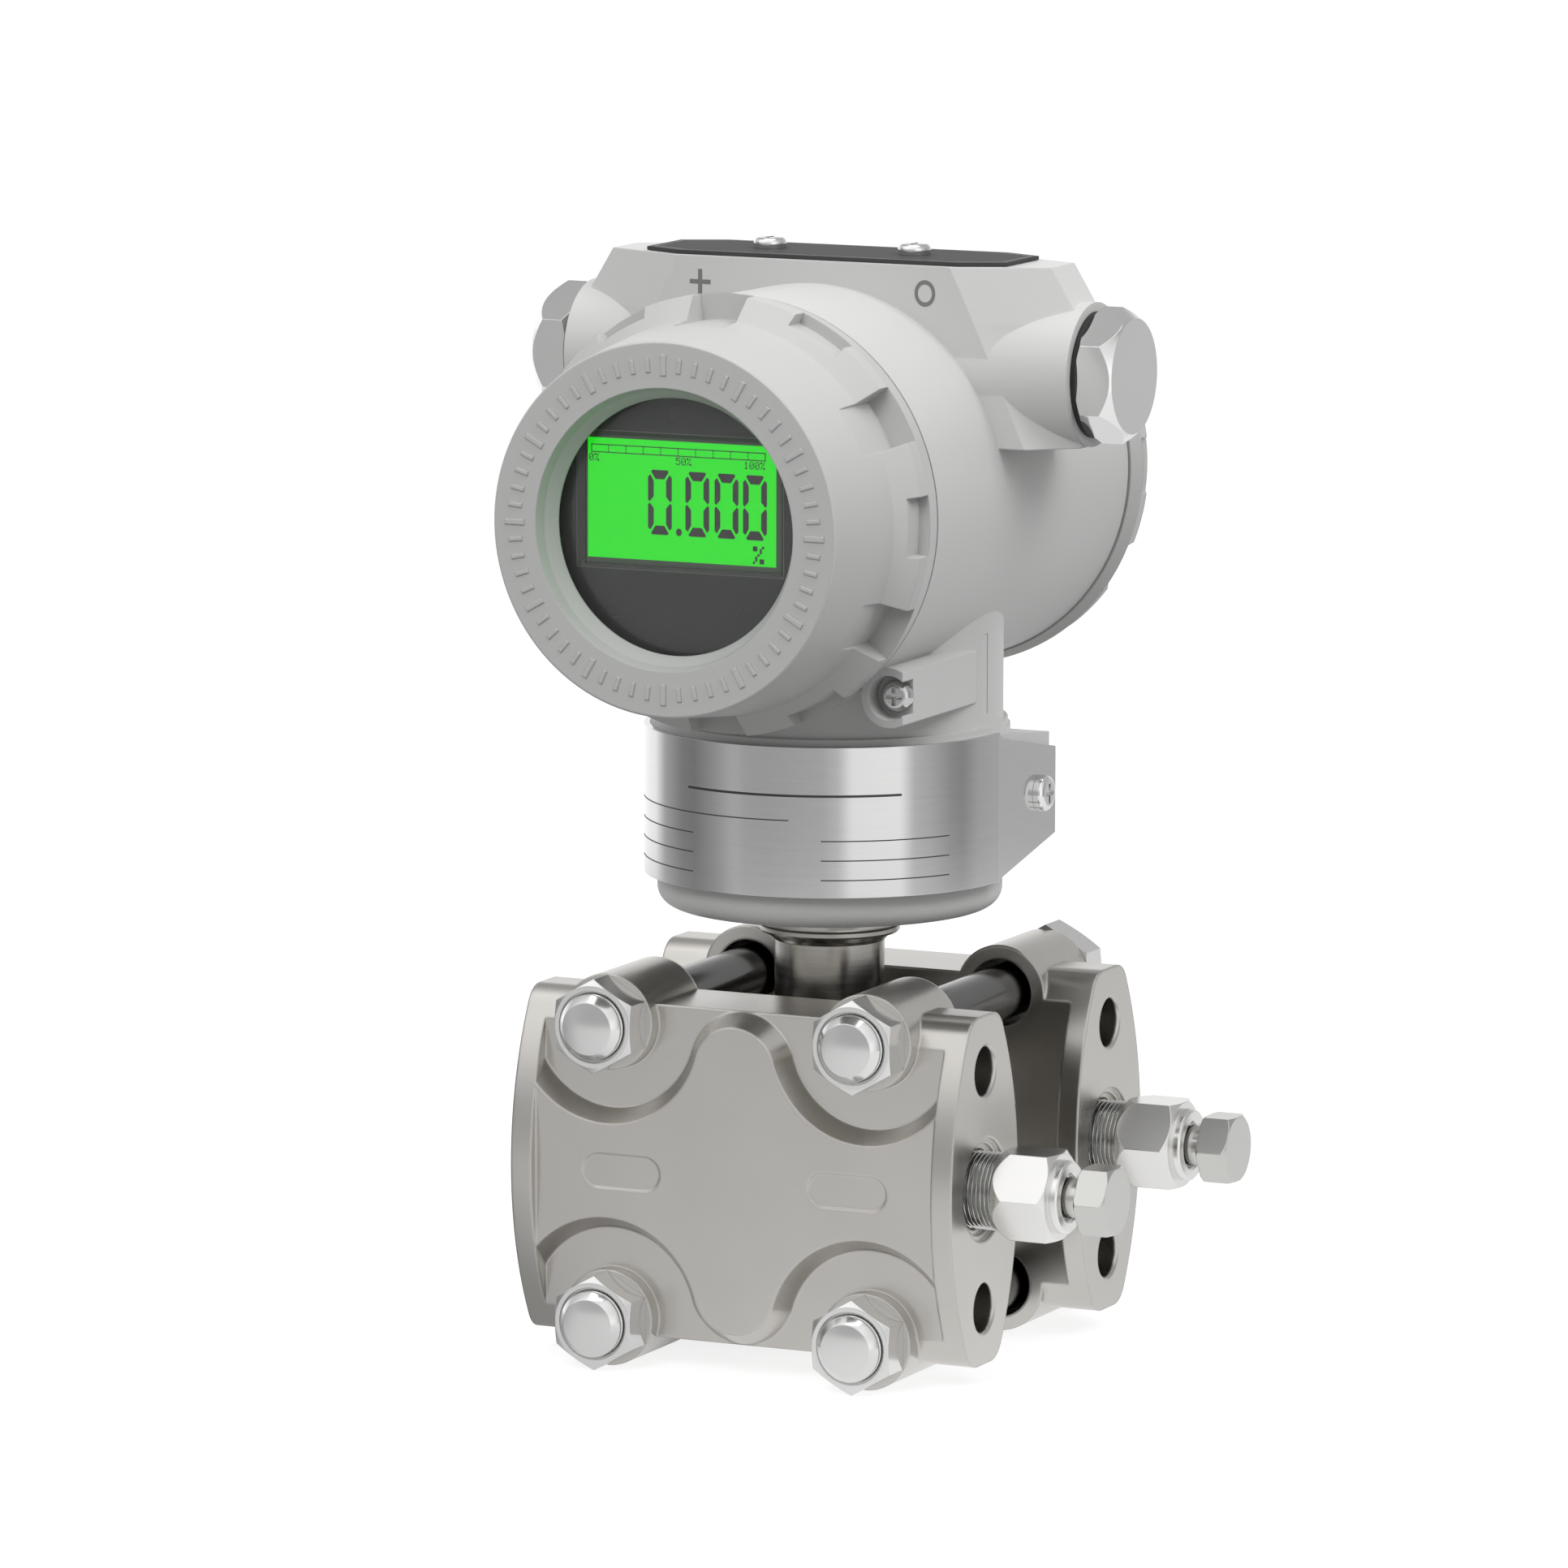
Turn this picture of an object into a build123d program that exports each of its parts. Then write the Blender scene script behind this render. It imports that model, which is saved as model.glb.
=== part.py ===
from build123d import *
import math
import os

os.makedirs("parts", exist_ok=True)

# flange bolts
BOLT_X = 24.54
BOLT_Z = 26.06
BOSS_R = 8.44
BOSS_RISE = 2.8
BOLT_R = 5.56
SHANK_R = BOLT_R - 0.76
BOLT_HOLE_R = BOLT_R + 0.34
BOLT_TIP = 8.36
BOLT_TIP_R = BOLT_R - 1.05
NUT_AF = 14.4
NUT_H = 6.3
NUT_SINK = 0.8
HEAD_AF = 15.9
HEAD_H = 7.0

# main heights above the rest plane
REST_DROP = BOLT_Z + BOSS_R
PORT_Z = REST_DROP
BARREL_UP = 116.17
BARREL_Z = PORT_Z + BARREL_UP

# process flange pair
PORT_Y = 27.0
PAD_X = 41.9
PAD_THICK = 3.9
BAR_X = PAD_X - PAD_THICK
BAR_HALF_Y = 8.5
BAR_HALF_Z = BOLT_Z + 3.24
BAR_SHORT_X = BAR_X - 7.5
PAD_ARC_R = 59.3
PAD_HALF_Y = 14.2
PAD_HALF_Z = 30.5
PAD_CORNER_R = 5.0
PANEL_RISE = 3.9
PANEL_HALF_Z = 21.27
SCOOP_FACE_R = 17.8
TONGUE_Z = 19.2
TONGUE_FACE_R = 7.7
SCOOP_SLANT = 2.3
INNER_Y = PORT_Y - BAR_HALF_Y
FLOOR_Y = PORT_Y + BAR_HALF_Y
PANEL_Y = FLOOR_Y + PANEL_RISE
BOSS_Y = FLOOR_Y + BOSS_RISE
BOLT_TIP_Y = BOSS_Y + BOLT_TIP
PLAQUE_X = 21.5
PLAQUE_L = 14.8
PLAQUE_W = 6.0
PLAQUE_DEEP = 0.3

# ports and mounting screw holes of a pad
SCREW_SPACING = 41.3
SCREW_Z = SCREW_SPACING / 2
VENT_SIDE_HOLE_R = 4.25
OPEN_SIDE_HOLE_R = 4.3
SCREW_HOLE_DEEP = 10.5
SCREW_MOUTH = 0.4
NPT_R = 6.3
NPT_DEEP = 14.0
STEP_FIRST = 0.7
STEP_WIDE = 1.0
STEP_DEEP = 0.8
GALLERY_R = 4.0

# capsule between the flanges
CAPSULE_R = 24.8
FACE_GAP = 0.05
CAPSULE_HALF = INNER_Y - FACE_GAP
CAPSULE_EDGE = 1.0
DIAPHRAGM_R = 16.5
DIAPHRAGM_THICK = 0.6
CAVITY_R = DIAPHRAGM_R + 0.5
CAVITY_DEEP = 1.5
GASKET_OUT_R = CAPSULE_R - 1.7
GASKET_IN_R = GASKET_OUT_R - 2.8
GROOVE_DEEP = 1.2

# neck tube and housing neck
TUBE_R = 9.65
TUBE_BORE_R = TUBE_R - 3.15
LIP_R = TUBE_R + 1.51
LIP_H = 3.3
NECK_UP = 43.0
NECK_BOTTOM = PORT_Z + NECK_UP
NECK_R = 30.2
NECK_EDGE_R = 3.5
NECK_FLOOR = 6.5
NECK_CAVITY_R = NECK_R - 6.2
NECK_CAVITY_TOP = NECK_BOTTOM + 34.5
TUBE_FIT = 0.07
SEAL_OUT_R = TUBE_R + 1.45
SEAL_LOW = NECK_BOTTOM + 1.0
SEAL_H = 1.5
CLIP_R = TUBE_R + 3.35
CLIP_H = 2.5
TUBE_TOP = NECK_BOTTOM + NECK_FLOOR + 9.0

# barrel of the housing
FRONT_Y = -36.5
REAR_Y = 48.35
FRONT_R = 36.85
REAR_R = 35.6
WALL_FRONT_Y = -9.0
WALL_REAR_Y = -5.5
RIM_WALL = 4.3
FRONT_THREAD_R = FRONT_R - RIM_WALL
FRONT_BORE_R = FRONT_THREAD_R - 2.05
REAR_THREAD_R = REAR_R - RIM_WALL
REAR_BORE_R = REAR_THREAD_R - 1.3
THREAD_DEEP = 9.5
COVER_FIT = 0.05
SEAL_THICK = 0.4
SEAL_GAP = 0.05
SEAL_INSET = 0.55

# block on top of the barrel
BLOCK_Y = 4.4
BLOCK_RISE = 40.23
BLOCK_TOP = BARREL_Z + BLOCK_RISE
BLOCK_SIDE_TOP = BLOCK_TOP - 9.6
BLOCK_LOW = BARREL_Z + 9.33
BLOCK_SIDE_END_X = 47.6
BLOCK_TOP_END_X = BLOCK_SIDE_END_X - 5.8
BLOCK_TOP_MID_X = 25.8
BLOCK_SIDE_MID_X = 30.4
BLOCK_LOW_MID_X = 40.0
BLOCK_END_HALF_Y = 5.0
BLOCK_MID_HALF_Y = 12.0

# cable entries
ENTRY_Y = 4.5
ENTRY_Z = BARREL_Z + 21.63
ENTRY_X = BLOCK_SIDE_END_X + 0.3
ENTRY_BORE_R = 9.9
ENTRY_R = ENTRY_BORE_R + 2.6
ENTRY_BORE_X = ENTRY_X - 23.9
PLUG_FIT = 0.05
PLUG_SEAL_R = ENTRY_BORE_R + 1.0
PLUG_SEAL_THICK = 0.9
PLUG_AF = 20.6
PLUG_H = 6.5
PLUG_FACE_R = PLUG_AF / 2 - 0.15
PLUG_SHANK_END = ENTRY_X - 13.9

# name plate and the two adjustment buttons under it
PLATE_THICK = 0.6
PLATE_GAP = 0.1
PLATE_END_X = BLOCK_TOP_END_X - 7.5
PLATE_END_HALF_Y = 6.9
PLATE_MID_X = BLOCK_TOP_MID_X + 1.0
PLATE_MID_HALF_Y = BLOCK_MID_HALF_Y - 1.5
PLATE_SCREW_X = 13.8
BUTTON_X = 21.5
BUTTON_R = 3.0
BUTTON_FIT = 0.08
BUTTON_H = 4.5
BUTTON_SINK = 1.0
BUTTON_ROOM = 1.8
BUTTON_BORE_BOTTOM = BLOCK_TOP - BUTTON_SINK - BUTTON_H - BUTTON_ROOM

# small pan head screws
SCREW_CORE_R = 1.21
SCREW_LONG = 5.5
SCREW_HEAD_H = 1.9
PLATE_SCREW_R = 2.9
BAND_SCREW_R = 3.2
SCREW_BORE_R = SCREW_CORE_R + 0.04
SCREW_PASS_R = SCREW_CORE_R + 0.39

# label band
BAND_SEAT_R = NECK_R + 1.25
BAND_FIT = 0.05
BAND_THICK = 1.0
BAND_IN_R = BAND_SEAT_R + BAND_FIT
BAND_OUT_R = BAND_IN_R + BAND_THICK
BAND_WIDE = 26.1
BAND_LOW = NECK_BOTTOM + 6.0
BAND_HIGH = BAND_LOW + BAND_WIDE
SHOULDER_R = NECK_R + 0.8
SHOULDER_TOP = BAND_HIGH + 1.2
EAR_Y = 24.0
EAR_TAPER = 5.4
EAR_SCREW_Y = EAR_Y - 6.9
EAR_SCREW_Z = BAND_LOW + 13.3

# lock screw boss beside the front cover
LOCK_ANGLE = math.radians(-48.21)
LOCK_OUT = FRONT_R + 4.42
LOCK_X = LOCK_OUT * math.cos(LOCK_ANGLE)
LOCK_Z = BARREL_Z + LOCK_OUT * math.sin(LOCK_ANGLE)
LOCK_RECESS_R = 3.87
LOCK_R = LOCK_RECESS_R + 1.33
LOCK_FLAT_X = LOCK_X + 2.6
LOCK_FRONT_Y = FRONT_Y + 0.5
LOCK_BACK_Y = -5.0
LOCK_RECESS_DEEP = 4.4

# front cover with its window
COVER_REACH = 30.7
COVER_FACE_Y = FRONT_Y - COVER_REACH
COVER_FACE_R = FRONT_R - 5.25
COVER_EDGE = 0.33
MOUTH_R = 24.0
LUG_R = FRONT_R + 0.95
LUG_BACK_Y = FRONT_Y - 5.5
LUG_FRONT_Y = LUG_BACK_Y - 3.1
RIB_Y = LUG_FRONT_Y - 3.4
RIB_R = FRONT_R - 2.95
DEEP_NOTCH_R = FRONT_R - 3.55
SMALL_NOTCH_R = FRONT_R - 0.95
DEEP_NOTCH_HALF = 7.75
SMALL_NOTCH_HALF = 7.9
NOTCH_IN_R = 20.0
NOTCH_OUT_R = LUG_R + 10.0
GLASS_FRONT_Y = COVER_FACE_Y + 4.8
GLASS_THICK = 3.0
SKIRT_IN_R = FRONT_THREAD_R - 3.55
GLASS_R = SKIRT_IN_R - 1.5
GLASS_FIT = 0.05
WINDOW_R = GLASS_R - 5.65
WINDOW_STEP_R = WINDOW_R + 1.55
WINDOW_STEP_Y = COVER_FACE_Y + 2.2
RETAINER_THICK = 3.0
RETAINER_IN_R = GLASS_R - 1.9

# rear cover
REAR_LUG_Y = REAR_Y + 3.25
REAR_LUG_R = REAR_R + 1.5
REAR_LONG = 14.15
REAR_FACE_Y = REAR_Y + REAR_LONG
REAR_FACE_THICK = 4.0
REAR_SKIRT_IN_R = REAR_THREAD_R - 3.8
REAR_DEEP_NOTCH_R = REAR_R - 2.9
REAR_SMALL_NOTCH_R = REAR_R - 0.4

# display
MODULE_R = RETAINER_IN_R - 0.4
MODULE_FACE_Y = GLASS_FRONT_Y + GLASS_THICK + 0.2
MODULE_FACE_THICK = 0.8
MODULE_WALL = 1.2
MODULE_LONG = 29.2
MODULE_BACK_Y = MODULE_FACE_Y + MODULE_LONG
MODULE_FLANGE_R = MODULE_R + 1.8
MODULE_FLANGE = 3.0
WINDOW_LOW = BARREL_Z - 7.27
WINDOW_RISE = 14.73
WINDOW_HIGH = BARREL_Z + WINDOW_RISE
PANEL_EDGE = 0.25
# the corners of the panel keep clear of the wall of the display body
PANEL_CORNER_GAP = 0.07882
PANEL_CORNER_R = MODULE_R - MODULE_WALL - PANEL_CORNER_GAP
PANEL_HALF_X = (PANEL_CORNER_R**2 - (WINDOW_RISE + PANEL_EDGE) ** 2) ** 0.5
WINDOW_HALF_X = PANEL_HALF_X - PANEL_EDGE
PANEL_THICK = 2.2
KEY_R = 1.5
BOARD_R = FRONT_BORE_R - 2.5
BOARD_THICK = 1.6
POST_AT_R = BOARD_R - 4.0
POST_R = 2.5

# terminal block behind the rear cover
TERMINAL_PITCH = 9.0
TERMINAL_LONG = 42.0
TERMINAL_HIGH = 26.0
TERMINAL_BASE = 14.0
TERMINAL_RISE = 20.0
TERMINAL_DROP = 4.0

# vent valves
VENT_THREAD_R = NPT_R + 0.3
VENT_SHANK_R = NPT_R - 0.04
VENT_SHANK_X = PAD_X - NPT_DEEP + 2.0
VENT_HEX_X = PAD_X + 4.1
VENT_HEX_END = VENT_HEX_X + 11.0
VENT_HEX_AF = 15.0
VENT_COLLAR_R = 6.3
VENT_COLLAR_END = VENT_HEX_END + 1.0
STEM_R = 3.45
VENT_CUP_R = STEM_R + 0.55
STEM_FIT = 0.05
STEM_START = PAD_X - 0.9
STEM_HEX_X = VENT_COLLAR_END + 3.0
STEM_HEX_END = STEM_HEX_X + 5.6
STEM_HEX_AF = 11.4

FRONTWARD = (0, -1, 0)
BACKWARD = (0, 1, 0)


def turned_y(points, height):
    """solid turned about a line along Y, from points of y and radius"""
    with BuildPart() as body:
        with BuildSketch(Plane.YZ):
            with BuildLine():
                Polyline([(y, height + r) for y, r in points], close=True)
            make_face()
        revolve(axis=Axis((0, 0, height), (0, 1, 0)))
    return body.part


def turned_z(points):
    """solid turned about the Z axis, from points of radius and height"""
    with BuildPart() as body:
        with BuildSketch(Plane.XZ):
            with BuildLine():
                Polyline(points, close=True)
            make_face()
        revolve(axis=Axis.Z)
    return body.part


def hex_piece(flats, height, face_r, slope, spin):
    """hexagon bar along local Z with its far face turned to a circle"""
    reach = flats / math.sqrt(3) + 0.5
    drop = (reach - face_r) * math.tan(math.radians(slope))
    with BuildPart() as blank:
        with BuildSketch():
            RegularPolygon(flats / 2, 6, major_radius=False, rotation=spin)
        extrude(amount=height)
        with BuildSketch(Plane.XZ):
            with BuildLine():
                Polyline((0, 0), (reach, 0), (reach, height - drop), (face_r, height), (0, height), close=True)
            make_face()
        revolve(axis=Axis.Z, mode=Mode.INTERSECT)
    return blank.part


def pan_screw(head_r, head_h, shank_r, shank_l):
    """cross recessed pan head screw along local Z, head on the base plane"""
    with BuildPart() as screw:
        Cylinder(head_r, head_h, align=(Align.CENTER, Align.CENTER, Align.MIN))
        fillet(screw.faces().sort_by(Axis.Z)[-1].edges(), head_h * 0.55)
        Cylinder(shank_r, shank_l, align=(Align.CENTER, Align.CENTER, Align.MAX))
        with Locations((0, 0, head_h)):
            Box(head_r * 1.1, head_r * 0.26, head_h, mode=Mode.SUBTRACT)
            Box(head_r * 0.26, head_r * 1.1, head_h, mode=Mode.SUBTRACT)
    return screw.part


def facing(x, y, z, normal, across):
    """location whose local Z points along the normal"""
    return Location(Plane(origin=(x, y, z), x_dir=across, z_dir=normal))


def joined(name, pieces):
    """one node made of several separate solids"""
    group = Compound(children=pieces)
    group.label = name
    return group


def save(shape, name):
    shape.label = name
    export_step(shape, "parts/" + name + ".step")


# process flanges


def pad_outline():
    with BuildSketch(Plane.YZ) as outline:
        with Locations((-PORT_Y + PAD_ARC_R - PAD_HALF_Y, PORT_Z)):
            Circle(PAD_ARC_R)
        with Locations((-PORT_Y - PAD_ARC_R + PAD_HALF_Y, PORT_Z)):
            Circle(PAD_ARC_R, mode=Mode.INTERSECT)
        with Locations((-PORT_Y, PORT_Z)):
            Rectangle(2 * PAD_HALF_Y, 2 * PAD_HALF_Z, mode=Mode.INTERSECT)
        fillet(outline.vertices(), PAD_CORNER_R)
    return outline.sketch


def flange_ends():
    """bar ends that follow the pad outline inside the bar thickness"""
    outline = pad_outline()
    with BuildPart() as ends:
        for low in (-BAR_X, BAR_SHORT_X - 2):
            extrude(Pos(low, 0, 0) * outline, amount=BAR_X - BAR_SHORT_X + 2, dir=(1, 0, 0))
        with Locations((0, -PORT_Y, PORT_Z)):
            Box(2 * BAR_X, 2 * BAR_HALF_Y, 2 * PAD_HALF_Z, mode=Mode.INTERSECT)
    return ends.part


def flange_pads():
    outline = pad_outline()
    with BuildPart() as pads:
        for low in (-PAD_X, BAR_X):
            extrude(Pos(low, 0, 0) * outline, amount=PAD_THICK, dir=(1, 0, 0))
    return pads.part


def flange_panel():
    """raised panel between the four round scoops around the bolts"""
    mid_y = -(FLOOR_Y + PANEL_Y) / 2
    with BuildPart() as panel:
        with Locations((0, mid_y, PORT_Z)):
            Box(2 * BAR_X, PANEL_RISE, 2 * PANEL_HALF_Z)
        with Locations(*[(0, mid_y, PORT_Z + s * TONGUE_Z) for s in (-1, 1)]):
            Cone(TONGUE_FACE_R + SCOOP_SLANT, TONGUE_FACE_R, PANEL_RISE, rotation=(90, 0, 0))
        with Locations(*[(sx * BOLT_X, mid_y, PORT_Z + sz * BOLT_Z) for sx in (-1, 1) for sz in (-1, 1)]):
            Cone(SCOOP_FACE_R - SCOOP_SLANT, SCOOP_FACE_R, PANEL_RISE, rotation=(90, 0, 0), mode=Mode.SUBTRACT)
        with BuildSketch(Plane(origin=(0, -PANEL_Y, PORT_Z), x_dir=(1, 0, 0), z_dir=FRONTWARD)):
            with Locations((-PLAQUE_X, 0), (PLAQUE_X, 0)):
                SlotOverall(PLAQUE_L, PLAQUE_W)
        extrude(amount=-PLAQUE_DEEP, mode=Mode.SUBTRACT)
    return panel.part


ends_shape = flange_ends()
pads_shape = flange_pads()
panel_shape = flange_panel()
bolt_spots = [(sx * BOLT_X, PORT_Z + sz * BOLT_Z) for sx in (-1, 1) for sz in (-1, 1)]

with BuildPart() as front_process_flange:
    with Locations((0, -PORT_Y, PORT_Z)):
        Box(2 * BAR_SHORT_X, 2 * BAR_HALF_Y, 2 * BAR_HALF_Z)
    add(ends_shape)
    add(pads_shape)
    add(panel_shape)
    # bolt bosses
    with Locations(*[(x, -(INNER_Y + BOSS_Y) / 2, z) for x, z in bolt_spots]):
        Cylinder(BOSS_R, BOSS_Y - INNER_Y, rotation=(90, 0, 0))
    with Locations(*[(x, -PORT_Y, z) for x, z in bolt_spots]):
        Cylinder(BOLT_HOLE_R, 2 * BOSS_Y, rotation=(90, 0, 0), mode=Mode.SUBTRACT)
    # ports in both end pads with stepped mouths
    for side in (-1, 1):
        with Locations((side * (PAD_X - NPT_DEEP / 2), -PORT_Y, PORT_Z)):
            Cylinder(NPT_R, NPT_DEEP, rotation=(0, 90, 0), mode=Mode.SUBTRACT)
        for count in range(3):
            step_r = NPT_R + STEP_FIRST + STEP_WIDE * (2 - count)
            with Locations((side * (PAD_X - STEP_DEEP * (count + 0.5)), -PORT_Y, PORT_Z)):
                Cylinder(step_r, STEP_DEEP, rotation=(0, 90, 0), mode=Mode.SUBTRACT)
        hole_r = VENT_SIDE_HOLE_R if side > 0 else OPEN_SIDE_HOLE_R
        mouth_r = hole_r + SCREW_MOUTH
        with Locations(*[(side * (PAD_X - SCREW_HOLE_DEEP / 2), -PORT_Y, PORT_Z + s * SCREW_Z) for s in (-1, 1)]):
            Cylinder(hole_r, SCREW_HOLE_DEEP, rotation=(0, 90, 0), mode=Mode.SUBTRACT)
        with Locations(*[(side * (PAD_X - SCREW_MOUTH / 2), -PORT_Y, PORT_Z + s * SCREW_Z) for s in (-1, 1)]):
            Cone(
                hole_r if side > 0 else mouth_r,
                mouth_r if side > 0 else hole_r,
                SCREW_MOUTH,
                rotation=(0, 90, 0),
                mode=Mode.SUBTRACT,
            )
    # gallery to the diaphragm
    with Locations((0, -PORT_Y, PORT_Z)):
        Cylinder(GALLERY_R, 2 * (PAD_X - NPT_DEEP) + 1, rotation=(0, 90, 0), mode=Mode.SUBTRACT)
    with Locations((0, -(PORT_Y + INNER_Y) / 2, PORT_Z)):
        Cylinder(3.0, PORT_Y - INNER_Y, rotation=(90, 0, 0), mode=Mode.SUBTRACT)
    with Locations((0, -INNER_Y - CAVITY_DEEP / 2, PORT_Z)):
        Cylinder(CAVITY_R, CAVITY_DEEP, rotation=(90, 0, 0), mode=Mode.SUBTRACT)
    # gasket groove
    with BuildSketch(Plane(origin=(0, -INNER_Y, PORT_Z), x_dir=(1, 0, 0), z_dir=FRONTWARD)):
        Circle(GASKET_OUT_R + 0.1)
        Circle(GASKET_IN_R - 0.1, mode=Mode.SUBTRACT)
    extrude(amount=GROOVE_DEEP, mode=Mode.SUBTRACT)

rear_flange = front_process_flange.part.mirror(Plane.XZ)
save(front_process_flange.part, "front_process_flange")
save(rear_flange, "rear_process_flange")

# flange bolts with heads at the back and nuts at the front

bolt_list = []
nut_list = []
for x, z in bolt_spots:
    with BuildPart() as bolt:
        with Locations((0, 0, 0)):
            Cylinder(SHANK_R, BOSS_Y + BOSS_Y, align=(Align.CENTER, Align.CENTER, Align.MIN))
        with Locations((0, 0, BOSS_Y * 2 - 14)):
            Cylinder(BOLT_R, BOLT_TIP_Y - BOSS_Y + 13, align=(Align.CENTER, Align.CENTER, Align.MIN))
        with Locations((0, 0, BOSS_Y + BOLT_TIP_Y - 1.0)):
            Cone(BOLT_R, BOLT_TIP_R, 1.0, align=(Align.CENTER, Align.CENTER, Align.MIN))
    head = hex_piece(HEAD_AF, HEAD_H, HEAD_AF / 2 - 0.2, 30, 30)
    shank_at = facing(x, BOSS_Y, z, FRONTWARD, (1, 0, 0)) * bolt.part
    head_at = facing(x, BOSS_Y, z, BACKWARD, (1, 0, 0)) * head
    bolt_list.append(shank_at + head_at)
    nut = hex_piece(NUT_AF, NUT_H, NUT_AF / 2 - 0.05, 30, 30)
    with BuildPart() as nut_bored:
        add(nut)
        Cylinder(BOLT_R + 0.04, 3 * NUT_H, mode=Mode.SUBTRACT)
        with Locations((0, 0, NUT_H - NUT_SINK)):
            Cone(
                BOLT_R + 0.04,
                BOLT_R + 0.04 + NUT_SINK,
                NUT_SINK,
                align=(Align.CENTER, Align.CENTER, Align.MIN),
                mode=Mode.SUBTRACT,
            )
    nut_list.append(facing(x, -BOSS_Y, z, FRONTWARD, (1, 0, 0)) * nut_bored.part)

save(joined("flange_bolts", bolt_list), "flange_bolts")
save(joined("flange_nuts", nut_list), "flange_nuts")

# sensor capsule with the neck tube

capsule_points = [
    (-CAPSULE_HALF, 0),
    (-CAPSULE_HALF, CAPSULE_R - CAPSULE_EDGE),
    (-CAPSULE_HALF + CAPSULE_EDGE, CAPSULE_R),
    (CAPSULE_HALF - CAPSULE_EDGE, CAPSULE_R),
    (CAPSULE_HALF, CAPSULE_R - CAPSULE_EDGE),
    (CAPSULE_HALF, 0),
]
capsule_shape = turned_y(capsule_points, PORT_Z)

with BuildPart() as sensor_capsule:
    add(capsule_shape)
    with Locations((0, 0, PORT_Z)):
        Cylinder(TUBE_R, TUBE_TOP - PORT_Z, align=(Align.CENTER, Align.CENTER, Align.MIN))
    with Locations((0, 0, NECK_BOTTOM - 0.05)):
        Cylinder(LIP_R, LIP_H, align=(Align.CENTER, Align.CENTER, Align.MAX))
    with Locations((0, 0, PORT_Z + 14)):
        Cylinder(TUBE_BORE_R, 2 * TUBE_TOP, align=(Align.CENTER, Align.CENTER, Align.MIN), mode=Mode.SUBTRACT)
save(sensor_capsule.part, "sensor_capsule")


def disc_y(name, low, high, out_r, in_r, height):
    """flat ring or disc about a line along Y"""
    points = [(low, in_r), (low, out_r), (high, out_r), (high, in_r)]
    ring = turned_y(points, height)
    save(ring, name)
    return ring


dia_y = CAPSULE_HALF + 0.02
disc_y("front_diaphragm", -dia_y - DIAPHRAGM_THICK, -dia_y, DIAPHRAGM_R, 0, PORT_Z)
disc_y("rear_diaphragm", dia_y, dia_y + DIAPHRAGM_THICK, DIAPHRAGM_R, 0, PORT_Z)
gasket_far = INNER_Y + GROOVE_DEEP - 0.05
disc_y("front_capsule_gasket", -gasket_far, -dia_y, GASKET_OUT_R, GASKET_IN_R, PORT_Z)
disc_y("rear_capsule_gasket", dia_y, gasket_far, GASKET_OUT_R, GASKET_IN_R, PORT_Z)

# neck seal and clip that keep the housing on the tube

with BuildPart() as neck_seal:
    with Locations((0, 0, SEAL_LOW)):
        Cylinder(SEAL_OUT_R, SEAL_H, align=(Align.CENTER, Align.CENTER, Align.MIN))
        Cylinder(TUBE_R + 0.02, SEAL_H, align=(Align.CENTER, Align.CENTER, Align.MIN), mode=Mode.SUBTRACT)
save(neck_seal.part, "neck_seal")

with BuildPart() as neck_clip:
    with Locations((0, 0, NECK_BOTTOM + NECK_FLOOR + 0.1)):
        Cylinder(CLIP_R, CLIP_H, align=(Align.CENTER, Align.CENTER, Align.MIN))
        Cylinder(TUBE_R + 0.02, CLIP_H, align=(Align.CENTER, Align.CENTER, Align.MIN), mode=Mode.SUBTRACT)
save(neck_clip.part, "neck_clip")

# vent valves and their stems


def vent_valve(y):
    hexagon = hex_piece(VENT_HEX_AF, VENT_HEX_END - VENT_HEX_X, VENT_COLLAR_R + 0.2, 36, 0)
    hexagon = facing(VENT_HEX_X, y, PORT_Z, (1, 0, 0), (0, 1, 0)) * hexagon
    thread_x = PAD_X - 2.5 * STEP_DEEP
    with BuildPart() as valve:
        add(hexagon)
        with Locations((VENT_SHANK_X, y, PORT_Z)):
            Cylinder(
                VENT_SHANK_R,
                VENT_HEX_X - VENT_SHANK_X,
                rotation=(0, 90, 0),
                align=(Align.CENTER, Align.CENTER, Align.MIN),
            )
        with Locations((thread_x, y, PORT_Z)):
            Cylinder(
                VENT_THREAD_R,
                VENT_HEX_X - thread_x,
                rotation=(0, 90, 0),
                align=(Align.CENTER, Align.CENTER, Align.MIN),
            )
        with Locations((VENT_HEX_END - 1, y, PORT_Z)):
            Cylinder(
                VENT_COLLAR_R,
                VENT_COLLAR_END - VENT_HEX_END + 1,
                rotation=(0, 90, 0),
                align=(Align.CENTER, Align.CENTER, Align.MIN),
            )
        with Locations((STEM_START - 1, y, PORT_Z)):
            Cylinder(
                STEM_R + STEM_FIT,
                2 * VENT_COLLAR_END,
                rotation=(0, 90, 0),
                align=(Align.CENTER, Align.CENTER, Align.MIN),
                mode=Mode.SUBTRACT,
            )
        with Locations((VENT_COLLAR_END - 1.5, y, PORT_Z)):
            Cylinder(
                VENT_CUP_R,
                VENT_COLLAR_END,
                rotation=(0, 90, 0),
                align=(Align.CENTER, Align.CENTER, Align.MIN),
                mode=Mode.SUBTRACT,
            )
        with Locations((PAD_X - NPT_DEEP, y, PORT_Z)):
            Cylinder(1.6, 30, rotation=(0, 90, 0), mode=Mode.SUBTRACT)
        with Locations(((VENT_HEX_X + VENT_HEX_END) / 2, y, PORT_Z)):
            Cylinder(1.2, VENT_HEX_AF, align=(Align.CENTER, Align.CENTER, Align.MAX), mode=Mode.SUBTRACT)
    return valve.part


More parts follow.
